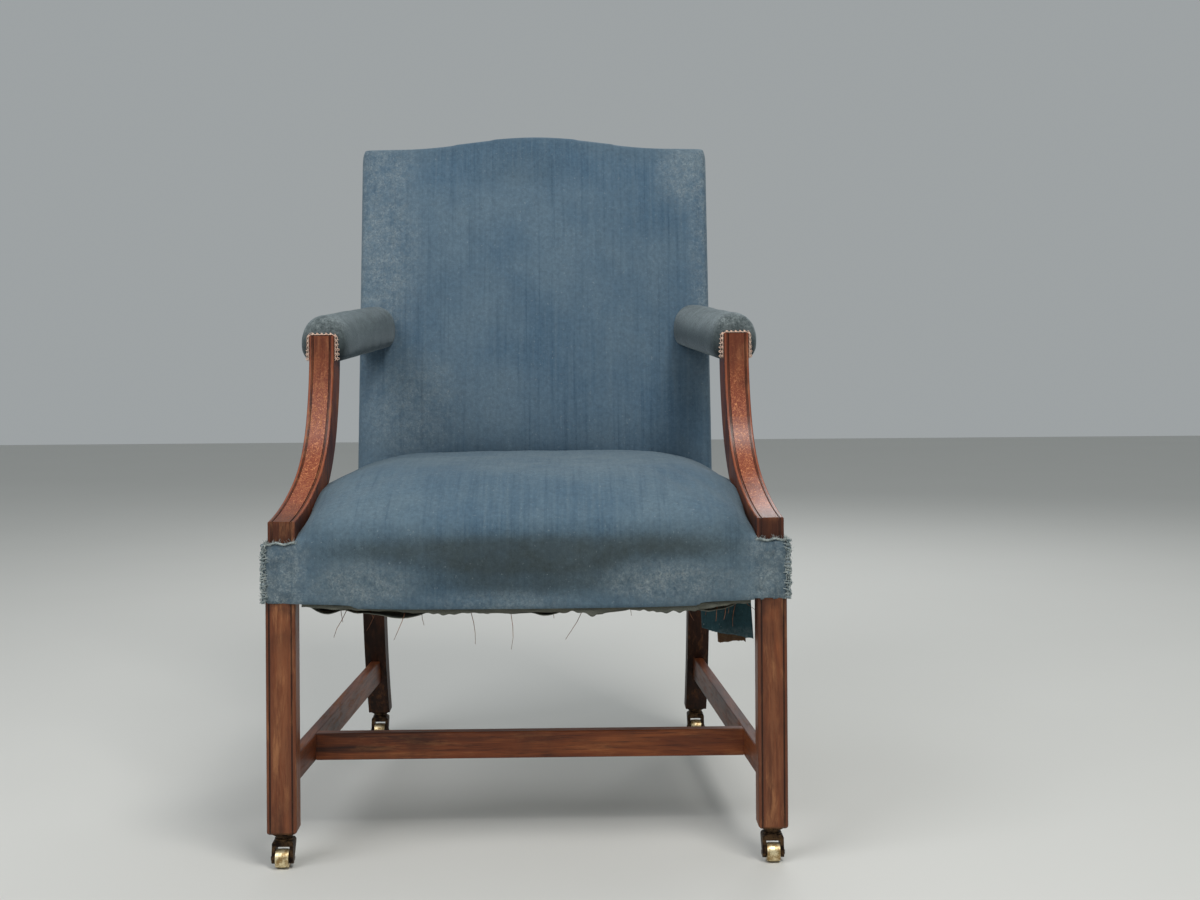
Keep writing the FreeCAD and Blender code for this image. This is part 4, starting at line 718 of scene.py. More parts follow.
@dataclass(frozen=True)
class LegMahogany(Mahogany):
    """Mahogany of the front legs: a worn middle, darker edges, painted shade on the side faces, dark grooves
    beside the corner beads, rubbing and a painted highlight along the beads, and a dark top.

    Distances are from the middle of the leg, and heights are above the floor.
    """

    bare: Colour = tone(128, 82, 53)
    shade: Colour = tone(66, 31, 21)
    core: float = 0.0050
    core_end: float = 0.0135
    flat_end: float = 0.0150
    groove: float = 0.0140
    corner: float = 0.0158
    corner_end: float = 0.0178
    stain_low: float = 0.26
    stain_top: float = 0.33

    def make(self) -> Material:
        """Build the material, with the dirt that lies in the grooves of both shown faces.

        Returns:
            The finished material.
        """
        made = Shader(self.name)
        colour = self.figure(made)
        x, y, z = made.axes()
        across = made.distance(made.work("ABSOLUTE", x), SIZES.front_half - SIZES.leg / 2)
        deep = made.distance(y, SIZES.front_y + SIZES.leg / 2)
        # Darker towards the edges of the front face, and painted shade over the side faces.
        sides = made.between(across, self.core, self.flat_end)
        colour = made.mix(made.times(sides, 0.50), colour, self.shade)
        ragged = made.cloud(1, 6, made.scaled(self.stretch(75, 9)), rough=0.78, twist=0.9)
        core = made.times(made.between(across, self.core_end, self.core), made.between(ragged, 0.42, 0.58))
        colour = made.mix(made.times(core, 0.62), colour, self.bare)
        gouges = made.times(made.between(ragged, 0.44, 0.34), made.between(across, self.flat_end, 0.0110))
        colour = made.mix(made.times(gouges, 0.55), colour, self.shade)
        # Corner beads paler: rubbing and a painted highlight along them.
        rubbed_and_highlit = made.work("MAXIMUM", made.between(across, self.corner, self.corner_end),
                           made.between(deep, self.corner, self.corner_end))
        colour = made.mix(made.times(rubbed_and_highlit, 0.25), colour, self.light)
        for off in (across, deep):
            stripe = made.stripe(off, self.groove, 0.0006, 0.0016)
            colour = made.mix(made.times(stripe, 0.85), colour, self.dark)
        blots = made.between(made.cloud(30, 4), 0.35, 0.6)
        stain = made.times(made.between(z, self.stain_low, self.stain_top), blots)
        colour = made.mix(made.times(stain, 0.6), colour, self.dark)
        return self.finish(made, colour)


@dataclass(frozen=True)
class FrameWood:
    """Plain pale frame wood, sawn and dusty."""

    name: str = "frame_beech"
    pale: Colour = tone(178, 146, 106)
    brown: Colour = tone(122, 92, 62)

    def make(self) -> Material:
        """Build the material.

        Returns:
            The finished material.
        """
        made = Shader(self.name)
        lines = made.cloud(1, 4, made.scaled((12, 60, 120)), rough=0.6)
        made.set("Base Color", made.ramp(lines, ((0.3, self.brown), (0.7, self.pale))))
        made.set("Roughness", made.spread(lines, 0.6, 0.85))
        made.raise_by(lines, 0.0005, 0.4)
        return made.material


@dataclass(frozen=True)
class Weave:
    """Plain woven cloth with visible threads and dust."""

    name: str
    thread: Colour
    gap: Colour
    dust: Colour
    threads: float
    directions: tuple[str, str] = ("X", "Y")
    relief: float = 0.0005

    def make(self) -> Material:
        """Build the material.

        Returns:
            The finished material.
        """
        made = Shader(self.name)
        first, second = (made.bands(self.threads, way, 0.6) for way in self.directions)
        woven = made.times(first, second)
        colour = made.mix(made.between(woven, 0.1, 0.6), self.gap, self.thread)
        dirt = made.cloud(26, 5, rough=0.7)
        colour = made.mix(made.spread(made.between(dirt, 0.45, 0.75), 0, 0.6), colour, self.dust)
        made.set("Base Color", colour)
        made.set("Roughness", made.spread(dirt, 0.85, 0.98))
        made.set("Specular IOR Level", 0.2)
        made.raise_by(woven, self.relief, 0.7)
        return made.material


@dataclass(frozen=True)
class Gimp:
    """Cream braid with a pink cast, dulled in places."""

    name: str = "cream_gimp"
    cream: Colour = tone(222, 198, 178)
    pink: Colour = tone(186, 146, 128)
    dull: Colour = tone(128, 106, 92)

    def make(self) -> Material:
        """Build the material.

        Returns:
            The finished material.
        """
        made = Shader(self.name)
        twist = made.cloud(700, 3)
        colour = made.mix(made.between(twist, 0.35, 0.65), self.pink, self.cream)
        dirt = made.cloud(60, 4, rough=0.65)
        colour = made.mix(made.spread(made.between(dirt, 0.5, 0.75), 0, 0.7), colour, self.dull)
        made.set("Base Color", colour)
        made.set("Roughness", made.spread(dirt, 0.7, 0.92))
        made.set("Sheen Weight", 0.2)
        made.raise_by(twist, 0.0003, 0.6)
        return made.material


@dataclass(frozen=True)
class Metal:
    """Old metal with patina and rubbed patches."""

    name: str
    bright: Colour
    patina: Colour
    cover: float
    rough: float

    def make(self) -> Material:
        """Build the material.

        Returns:
            The finished material.
        """
        made = Shader(self.name)
        cloud = made.cloud(130, 6, rough=0.7)
        colour = made.mix(made.between(cloud, self.cover + 0.12, self.cover - 0.12), self.patina, self.bright)
        scratches = made.cloud(1, 4, made.scaled((900, 120, 900)), rough=0.7)
        colour = made.mix(made.spread(made.between(scratches, 0.55, 0.8), 0, 0.3), colour, self.patina)
        made.set("Base Color", colour)
        made.set("Metallic", 0.9)
        made.set("Roughness", made.spread(cloud, self.rough, self.rough + 0.3))
        made.raise_by(scratches, 0.0002, 0.4)
        made.raise_by(cloud, 0.0004, 0.3)
        return made.material


@dataclass(frozen=True)
class Strand:
    """Loose threads and hair of one colour range."""

    name: str
    pale: Colour
    deep: Colour

    def make(self) -> Material:
        """Build the material.

        Returns:
            The finished material.
        """
        made = Shader(self.name)
        hue = made.cloud(160, 3)
        made.set("Base Color", made.ramp(hue, ((0.3, self.deep), (0.7, self.pale))))
        made.set("Roughness", made.spread(hue, 0.6, 0.9))
        return made.material


class Finishes:
    """All of the chair's materials."""

    def __init__(self) -> None:
        """Build each material once."""
        self.seat_velvet = Velvet("seat_velvet", (180, 6, 6)).make()
        self.back_velvet = Velvet(
            "back_velvet", (190, 4, 4), blue=tone(68, 94, 115), faded=tone(94, 114, 128)).make()
        self.outside_velvet = Velvet("outside_velvet", (220, 4, 4), blue=tone(60, 84, 103)).make()
        self.arm_velvet = Velvet(
            "arm_velvet", (150, 8, 150), blue=tone(48, 58, 61), faded=tone(71, 82, 84),
            soiled_and_shaded=tone(35, 41, 41), deep=tone(36, 45, 48), sheen=0.42).make()
        self.flap_velvet = Velvet(
            "flap_velvet", (200, 200, 9), blue=tone(36, 70, 80), faded=tone(62, 98, 106),
            soiled_and_shaded=tone(34, 52, 56), deep=tone(26, 52, 60)).make()
        self.legs = LegMahogany(
            "leg_mahogany", Grain.UPRIGHT, middle=tone(94, 47, 25), worn=tone(160, 108, 70),
            wear=0.7).make()
        # Darker copy of the mahogany for the rear legs: painted shade.
        self.rear_legs = Mahogany(
            "shaded_rear_leg_mahogany", Grain.UPRIGHT, dark=tone(20, 10, 6), middle=tone(42, 22, 13),
            light=tone(64, 36, 22), wear=0.2, gloss=0.5, shine=0.18).make()
        self.side_rails = Mahogany("side_stretcher_mahogany", Grain.DEEP, wear=0.35).make()
        self.cross_rail = Mahogany(
            "cross_stretcher_mahogany", Grain.ACROSS, middle=tone(114, 55, 22),
            light=tone(154, 86, 42), wear=0.4).make()
        self.supports = CarvedMahogany(
            "support_mahogany", Grain.UPRIGHT, middle=tone(104, 50, 28), gloss=0.3).make()
        self.beech = FrameWood().make()
        self.hem = Weave(
            "raw_hem", tone(140, 141, 128), tone(74, 76, 70), tone(96, 94, 80), 420, ("X", "Z")).make()
        self.lining = Weave(
            "dusty_lining", tone(140, 142, 130), tone(84, 88, 82), tone(166, 162, 146), 420).make()
        self.webbing = Weave(
            "jute_webbing", tone(150, 126, 88), tone(82, 64, 42), tone(120, 108, 88), 260).make()
        self.hessian = Weave(
            "brown_hessian", tone(138, 106, 76), tone(66, 46, 32), tone(150, 134, 112), 300,
            ("X", "Z")).make()
        self.gimp = Gimp().make()
        self.bronze = Metal("dark_bronze", tone(92, 70, 48), tone(34, 24, 20), 0.47, 0.42).make()
        self.brass = Metal("worn_brass", tone(244, 228, 186), tone(160, 130, 84), 0.50, 0.26).make()
        self.steel = Metal("dull_steel", tone(120, 114, 108), tone(58, 48, 42), 0.55, 0.45).make()
        self.fray = Strand("frayed_thread", tone(178, 186, 182), tone(112, 126, 128)).make()
        self.hair = Strand("brown_thread", tone(142, 92, 58), tone(84, 48, 32)).make()


class MeshPile:
    """Points and faces that become one mesh."""

    def __init__(self) -> None:
        """Start with nothing."""
        self.points: list[Vector] = []
        self.faces: list[tuple[int, ...]] = []

    def grid(self, rows: Sequence[Sequence[Vector]], closed: bool = False) -> list[list[int]]:
        """Add a sheet of four-sided faces.

        Args:
            rows: Rows of points of one length.
            closed: Whether each row is a ring.

        Returns:
            The number of each point, row by row.
        """
        numbers = []
        for row in rows:
            start = len(self.points)
            self.points.extend(row)
            numbers.append(list(range(start, start + len(row))))
        wide = len(rows[0])
        for low, high in zip(numbers, numbers[1:]):
            for index in range(wide if closed else wide - 1):
                after = (index + 1) % wide
                self.faces.append((low[index], low[after], high[after], high[index]))
        return numbers

    def fan(self, ring: Sequence[int], flip: bool = False) -> None:
        """Close a ring of points with one face."""
        self.faces.append(tuple(reversed(ring)) if flip else tuple(ring))

    def body(self, rings: Sequence[Sequence[Vector]]) -> None:
        """Add a closed form.

        Args:
            rings: Rings of points of one length, from one end to the other.
        """
        numbers = self.grid(rings, closed=True)
        self.fan(numbers[0], flip=True)
        self.fan(numbers[-1])

    def tube(self, path: Sequence[Vector], radius: float | Sequence[float], sides: int,
             taper: float = 1.0) -> None:
        """Add a closed tube.

        Args:
            path: Points along its middle.
            radius: Its radius, or its radius at each point.
            sides: Number of sides.
            taper: Share of an even radius at its far end.
        """
        rows = []
        side_way = None
        for index, middle in enumerate(path):
            ahead = (path[min(index + 1, len(path) - 1)] - path[max(index - 1, 0)]).normalized()
            if side_way is None:
                side_way = ahead.orthogonal().normalized()
            side_way = (side_way - ahead * side_way.dot(ahead)).normalized()
            up_way = ahead.cross(side_way)
            if isinstance(radius, float):
                share = radius * (1 + (taper - 1) * index / (len(path) - 1))
            else:
                share = radius[index]
            rows.append([middle + share * (math.cos(turn) * side_way + math.sin(turn) * up_way)
                         for turn in (2 * math.pi * step / sides for step in range(sides))])
        self.body(rows)

    def build(self, name: str) -> Object:
        """Make the object.

        Args:
            name: Name of the piece.

        Returns:
            The new object, in the scene.
        """
        mesh = bpy.data.meshes.new(name)
        mesh.from_pydata([tuple(point) for point in self.points], [], self.faces)
        shape = bmesh.new()
        shape.from_mesh(mesh)
        bmesh.ops.recalc_face_normals(shape, faces=shape.faces)
        shape.to_mesh(mesh)
        shape.free()
        mesh.shade_smooth()
        made = bpy.data.objects.new(name, mesh)
        bpy.context.scene.collection.objects.link(made)
        return made


def apply_modifiers(piece: Object) -> None:
    """Turn a piece's modifiers into its mesh.

    Args:
        piece: The piece.
    """
    shown = piece.evaluated_get(bpy.context.evaluated_depsgraph_get())
    mesh = bpy.data.meshes.new_from_object(shown)
    piece.modifiers.clear()
    old = piece.data
    piece.data = mesh
    mesh.name = piece.name
    bpy.data.meshes.remove(old)


def voxel_skin(piece: Object, voxel: float) -> None:
    """Give a closed form an even skin.

    Args:
        piece: The closed form.
        voxel: Size of the skin's faces.
    """
    skin = piece.modifiers.new("skin", "REMESH")
    skin.mode = "VOXEL"
    skin.voxel_size = voxel
    skin.use_smooth_shade = True
    apply_modifiers(piece)


def relax(piece: Object, times: int, share: Height) -> None:
    """Smooth a mesh, more in some places than in others.

    Args:
        piece: The piece to smooth.
        times: Number of passes.
        share: How much of each pass a point takes.
    """
    shape = bmesh.new()
    shape.from_mesh(piece.data)
    weights = {point.index: share(point.co) for point in shape.verts}
    shape.verts.ensure_lookup_table()
    for _ in range(times):
        moved = {}
        for point in shape.verts:
            weight = weights[point.index]
            if weight <= 0 or not point.link_edges:
                continue
            beside = [edge.other_vert(point).co for edge in point.link_edges]
            middle = sum(beside, Vector()) / len(beside)
            moved[point.index] = point.co.lerp(middle, 0.5 * weight)
        for index, place in moved.items():
            shape.verts[index].co = place
    shape.to_mesh(piece.data)
    shape.free()


@dataclass(frozen=True)
class Stuffing:
    """How a cover swells over its stuffing, and how stiff it is."""

    limit: float
    pressure: float = 4.0
    frames: int = 20
    quality: int = 4
    mass: float = 0.3
    stretch: float = 12
    shear: float = 5
    bend: float = 0.6
    air: float = 2

    def swell(self, piece: Object, held: Height) -> None:
        """Blow the cover up with a cloth simulation and keep the result.

        Args:
            piece: The closed cover.
            held: From 0, free, to 1, tacked to the frame.
        """
        group = piece.vertex_groups.new(name="held")
        for point in piece.data.vertices:
            group.add([point.index], held(point.co), "REPLACE")
        cloth = piece.modifiers.new("stuffing", "CLOTH")
        settings = cloth.settings
        settings.quality = self.quality
        settings.mass = self.mass
        settings.tension_stiffness = self.stretch
        settings.compression_stiffness = self.stretch
        settings.shear_stiffness = self.shear
        settings.bending_stiffness = self.bend
        settings.air_damping = self.air
        settings.use_pressure = True
        settings.uniform_pressure_force = self.pressure
        settings.vertex_group_mass = group.name
        settings.effector_weights.gravity = 0
        cloth.collision_settings.use_collision = False
        cloth.point_cache.frame_start = 1
        cloth.point_cache.frame_end = self.frames
        scene = bpy.context.scene
        for number in range(1, self.frames + 1):
            scene.frame_set(number)
        shown = piece.evaluated_get(bpy.context.evaluated_depsgraph_get())
        moved = [point.co.copy() for point in shown.data.vertices]
        piece.modifiers.remove(cloth)
        scene.frame_set(1)
        for point, place in zip(piece.data.vertices, moved):
            step = place - point.co
            if step.length > self.limit:
                step *= self.limit / step.length
            point.co = point.co + step
        piece.vertex_groups.clear()


def subdivide(piece: Object) -> None:
    """Add one level of smooth subdivision.

    Args:
        piece: The piece.
    """
    finer = piece.modifiers.new("finer", "SUBSURF")
    finer.levels = 1
    finer.render_levels = 1
    apply_modifiers(piece)


def carve(piece: Object, tools: Sequence[Object]) -> None:
    """Cut rooms out of a piece and remove the tools.

    Args:
        piece: The piece.
        tools: The cutting blocks.
    """
    for tool in tools:
        cut = piece.modifiers.new("room", "BOOLEAN")
        cut.operation = "DIFFERENCE"
        cut.solver = "EXACT"
        cut.object = tool
    apply_modifiers(piece)
    for tool in tools:
        bpy.data.objects.remove(tool)


def drop_faces(piece: Object, unwanted: Callable[[Vector, Vector], bool]) -> None:
    """Open a closed cover.

    Args:
        piece: The cover.
        unwanted: Says of a face's middle and normal whether the face goes.
    """
    shape = bmesh.new()
    shape.from_mesh(piece.data)
    gone = [face for face in shape.faces if unwanted(face.calc_center_median(), face.normal)]
    bmesh.ops.delete(shape, geom=gone, context="FACES")
    shape.to_mesh(piece.data)
    shape.free()


def thicken(piece: Object, thickness: float) -> None:
    """Give an open cover its thickness, inwards.

    Args:
        piece: The cover.
        thickness: Its thickness.
    """
    depth = piece.modifiers.new("thickness", "SOLIDIFY")
    depth.thickness = thickness
    depth.offset = -1
    depth.use_rim = True
    apply_modifiers(piece)


def paint(piece: Object, name: str, value: Height) -> None:
    """Paint a value on a piece's points.

    Args:
        piece: The piece.
        name: Name of the painted value.
        value: The value at a point, from 0 to 1.
    """
    layer = piece.data.attributes.get(name) or piece.data.attributes.new(name, "FLOAT", "POINT")
    for index, point in enumerate(piece.data.vertices):
        layer.data[index].value = value(point.co)


def soft_spot(place: Vector, centre: Point, reach: Point) -> float:
    """Share of a soft round spot at a place.

    Args:
        place: Where the share is wanted.
        centre: The spot's middle.
        reach: Half its size each way.

    Returns:
        1 at the middle, falling to 0 at the spot's edge.
    """
    off = math.sqrt(sum(((place[axis] - centre[axis]) / reach[axis]) ** 2 for axis in range(3)))
    return 1 - blend_step(0.25, 1.0, off)


@dataclass(frozen=True)
class Spot:
    """Soft round spot of rubbing or soiling."""

    share: float
    centre: Point
    reach: Point

    def at(self, place: Vector) -> float:
        """Strength of the spot at a place: its share at the middle, nothing beyond its reach."""
        return self.share * soft_spot(place, self.centre, self.reach)


def lumps(place: Vector, scale: float, seed: float) -> float:
    """Smooth unevenness of stuffing, from -1 to 1."""
    return noise.noise(place * scale + Vector((seed, seed * 1.7, -seed)))


def cut_sheet(name: str, rows: Sequence[Sequence[Vector]], thickness: float) -> Object:
    """Make a thin sheet of cloth.

    Args:
        name: Name of the piece.
        rows: Rows of points of one length.
        thickness: Thickness of the cloth.

    Returns:
        The sheet, without a finish.
    """
    pile = MeshPile()
    pile.grid(rows)
    piece = pile.build(name)
    thicken(piece, thickness)
    return piece


def dress(piece: Object, finish: Material, nodes: Sequence[str] = ()) -> Object:
    """Give a new piece its material and its place in the model.

    Args:
        piece: The new piece.
        finish: Its material.
        nodes: CAD nodes that it stands for.

    Returns:
        The piece.
    """
    piece.data.materials.clear()
    piece.data.materials.append(finish)
    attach(piece, CHAIR)
    if nodes:
        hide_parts(*nodes)
    LOG.info("made %s with %d points", piece.name, len(piece.data.vertices))
    return piece


def support_room(side: Side, gap: float) -> Object:
    """Block with an arm support's outline, to cut from the upholstery.

    Args:
        side: The chair's side.
        gap: Room round the support.

    Returns:
        The cutting block.
    """
    front = SIZES.support_curve(-gap)
    rear = SIZES.support_curve(SIZES.support_depth + gap)
    top = SIZES.support_top + gap
    outline = [(SIZES.support_setback - gap, SIZES.rail_top)] + front
    outline += [(front[-1][0], top), (rear[-1][0], top)] + rear[::-1]
    outline = [(run, height) for run, height in outline if height >= SIZES.rail_top]
    run, height = outline[-1]
    slope = math.tan(math.radians(SIZES.support_sweep[0][1]))
    heel_share = 0.35
    outline.append((run - (height - SIZES.rail_top) / slope * heel_share, SIZES.rail_top))
    inner = SIZES.support_inset + SIZES.support_width + gap
    place = SIZES.side_place(side)
    block = MeshPile()
    block.body([[place @ Vector((side.value * across, run, height)) for run, height in outline]
                for across in (-inner, gap - SIZES.support_inset)])
    return block.build("support_room_" + side.word)


@dataclass
class SeatCover:
    """Domed seat: velvet over stuffing between the arm supports, drawn down over the rails."""

    finishes: Finishes
    cover: float = 0.0035
    thickness: float = 0.0028
    crown: float = 0.080
    skirt_low: float = 0.335
    skirt_rear: float = 0.0035
    rear_share: float = 0.09
    support_gap: float = 0.0006
    sharp_angle: float = 52
    sag_half: float = 0.30
    front_sag: float = 0.012
    front_bulge: float = 0.011
    foot_run: float = 0.060
    spread_run: float = 0.170
    voxel: float = 0.008
    form: tuple[tuple[float, float], ...] = (
        (0, 0.34), (0.03, 0.58), (0.085, 0.82), (0.22, 0.96), (0.48, 1.0), (0.78, 0.97), (0.985, 0.84))
    stations: tuple[float, ...] = (0, 0.008, 0.018, 0.03, 0.05, 0.085, 0.13, 0.18, 0.24, 0.32, 0.4, 0.48,
                                   0.56, 0.64, 0.72, 0.8, 0.87, 0.93, 0.985)
    rub_spots: tuple[Spot, ...] = (
        Spot(0.75, (0.18, -0.345, 0.360), (0.12, 0.06, 0.038)),
        Spot(0.65, (-0.21, -0.345, 0.360), (0.10, 0.06, 0.040)),
        Spot(0.35, (-0.04, -0.345, 0.335), (0.15, 0.06, 0.022)),
        Spot(0.30, (0.04, -0.05, 0.5), (0.34, 0.26, 0.08)))
    # A darker band across the front of the dome.
    front_dark_band: Spot = Spot(0.95, (0.0, -0.335, 0.402), (0.42, 0.13, 0.034))
    # Painted shade on the right front, where the right arm blocks the light.
    right_arm_shade: Spot = Spot(0.3, (0.20, -0.31, 0.42), (0.12, 0.12, 0.04))
    # Painted shade over the lower front, which faces away from the light above.
    low_front_shade: Spot = Spot(0.8, (0.0, -0.34, 0.368), (0.20, 0.08, 0.040))
    stuffing: Stuffing = Stuffing(limit=0.004)

    def low_edge(self, place: Vector) -> float:
        """Height of the cover's lower edge, which sags along the front."""
        sag = self.front_sag * max(1 - (place.x / self.sag_half) ** 2, 0) ** 0.7
        return self.skirt_low - sag * blend_step(0.06, 0.01, place.y - SIZES.front_y)

    def dome_half(self, y: float) -> float:
        """Half width of the stuffing, which keeps inside the feet of the arm supports.

        Args:
            y: Depth in the chair's frame.

        Returns:
            Distance from the middle to the foot of the dome.
        """
        outside = SIZES.side_half(y) + self.cover
        inside = SIZES.side_half(y) - SIZES.support_inset - SIZES.support_width - 0.001
        return inside + (outside - inside) * blend_step(self.foot_run, self.spread_run, y - SIZES.front_y)

    def flat_top(self, y: float) -> float:
        """Height of the cover over the rails: on the wood at the support feet, over hessian behind them."""
        return SIZES.rail_top + 0.0025 + 0.0040 * blend_step(0.050, 0.080, y - SIZES.front_y)

    def section(self, y: float, share: float, count: int = 72) -> list[Vector]:
        """Ring of points round the seat at one depth.

        Args:
            y: The depth.
            share: Share of the crown's height there.
            count: Points over the dome.

        Returns:
            The ring, from the left over the top to the right and back along the bottom.
        """
        half, dome = SIZES.side_half(y) + self.cover, self.dome_half(y)
        base = self.flat_top(y)
        tall = self.crown * share - (base - SIZES.rail_top)
        ring = [Vector((-half, y, base))]
        for step in range(count + 1):
            turn = math.pi * (1 - step / count)
            across = math.copysign(abs(math.cos(turn)) ** 0.42, math.cos(turn)) * 0.9995
            rise = max(1 - abs(across) ** 6.3, 0) ** 0.5
            ring.append(Vector((across * dome, y, base + tall * rise)))
        low = self.low_edge(Vector((SIZES.front_half, y, 0)))
        steps = [base, (base + low) / 2, low]
        ring += [Vector((half, y, height)) for height in steps]
        pieces = 24
        for part in range(1, pieces):
            across = half * (1 - 2 * part / pieces)
            ring.append(Vector((across, y, self.low_edge(Vector((across, y, 0))))))
        ring += [Vector((-half, y, height)) for height in reversed(steps[1:])]
        return ring

    def shape(self) -> Object:
        """Closed form of the seat before it swells.

        Returns:
            The form, without a finish.
        """
        deep = SIZES.seat_run + self.cover
        start = SIZES.front_y - self.cover
        rings = [self.section(start + deep * part, curve_through(self.form, part)) for part in self.stations]
        rear = SIZES.post_y + SIZES.post_depth + self.skirt_rear
        rings += [self.section(y, self.rear_share) for y in (SIZES.post_y - 0.004, SIZES.post_y + 0.02, rear)]
        pile = MeshPile()
        pile.body(rings)
        return pile.build("seat_cover")

    def held(self, place: Vector) -> float:
        """Where the cover is tacked or lies on wood."""
        low = 1 - blend_step(0.425, 0.458, place.z)
        return max(low, blend_step(0.17, 0.20, place.y))

    def rub(self, place: Vector) -> float:
        """Pale rubbing on the front corners, in spots along the lower front and on the crown.

        Args:
            place: A point of the cover.

        Returns:
            The share there, from 0 to 1.
        """
        front = blend_step(-0.31, -0.335, place.y)
        corner = 0.6 * front * blend_step(0.26, 0.30, abs(place.x)) * blend_step(0.43, 0.40, place.z)
        return max(corner, *(spot.at(place) for spot in self.rub_spots))

    def soil_and_shade(self, place: Vector) -> float:
        """Grey-green dulling at the sides of the dome and its front corners, a darker band across its front,
        painted shade over the lower front, and painted shade on the right front, where the right arm blocks
        the light.

        Args:
            place: A point of the cover.

        Returns:
            The share there, from 0 to 1.
        """
        sides = 0.5 * blend_step(0.20, 0.29, abs(place.x)) * blend_step(0.405, 0.43, place.z)
        corner = 0.5 * blend_step(0.27, 0.30, abs(place.x)) * blend_step(0.43, 0.41, place.z)
        most = max(self.front_dark_band.at(place), sides, corner)
        return min(most + self.right_arm_shade.at(place) + self.low_front_shade.at(place), 1)

    def fill_out(self, piece: Object) -> None:
        """Make the stuffing uneven and the front full.

        Args:
            piece: The seat's skin.
        """
        for point in piece.data.vertices:
            place = point.co.copy()
            free = 1 - self.held(place)
            point.co.z += free * (0.0022 * lumps(place, 9, 3.1) + 0.0008 * lumps(place, 26, 7.7))
            forward = blend_step(0.06, 0.0, place.y - SIZES.front_y) * blend_step(0.296, 0.25, abs(place.x))
            full = blend_step(0.330, 0.40, place.z) * blend_step(0.49, 0.43, place.z)
            point.co.y -= forward * full * (self.front_bulge + 0.0016 * lumps(place, 14, 1.3))

    def crease_corners(self, piece: Object) -> None:
        """Pucker the cover where it is sewn at the front corners.

        Args:
            piece: The swollen cover.
        """
        for point in piece.data.vertices:
            place = point.co.copy()
            corner = blend_step(0.282, 0.296, abs(place.x)) * blend_step(0.05, 0.02, place.y - SIZES.front_y)
            crease = 0.0022 * lumps(place, 80, 2.9) + 0.0014 * lumps(place, 150, 4.6)
            if corner > 0 and place.z < SIZES.rail_top - 0.001:
                point.co.y -= corner * crease

    def build(self) -> Object:
        """Make the seat cover.

        Returns:
            The finished piece.
        """
        piece = self.shape()
        voxel_skin(piece, self.voxel)
        relax(piece, 8, lambda place: blend_step(0.412, 0.43, place.z))
        self.fill_out(piece)
        self.stuffing.swell(piece, self.held)
        subdivide(piece)
        self.crease_corners(piece)
        carve(piece, [support_room(side, self.support_gap) for side in Side])
        drop_faces(piece, lambda place, normal: normal.z < -0.6 and place.z < 0.345)
        drop_faces(piece, lambda place, normal: normal.y > 0.8 and place.z < 0.411 and place.y > 0.24)
        thicken(piece, self.thickness)
        piece.data.set_sharp_from_angle(angle=math.radians(self.sharp_angle))
        paint(piece, "rub", self.rub)
        paint(piece, "soil_and_shade", self.soil_and_shade)
        dress(piece, self.finishes.seat_velvet, ["seat_pad"])
        return piece


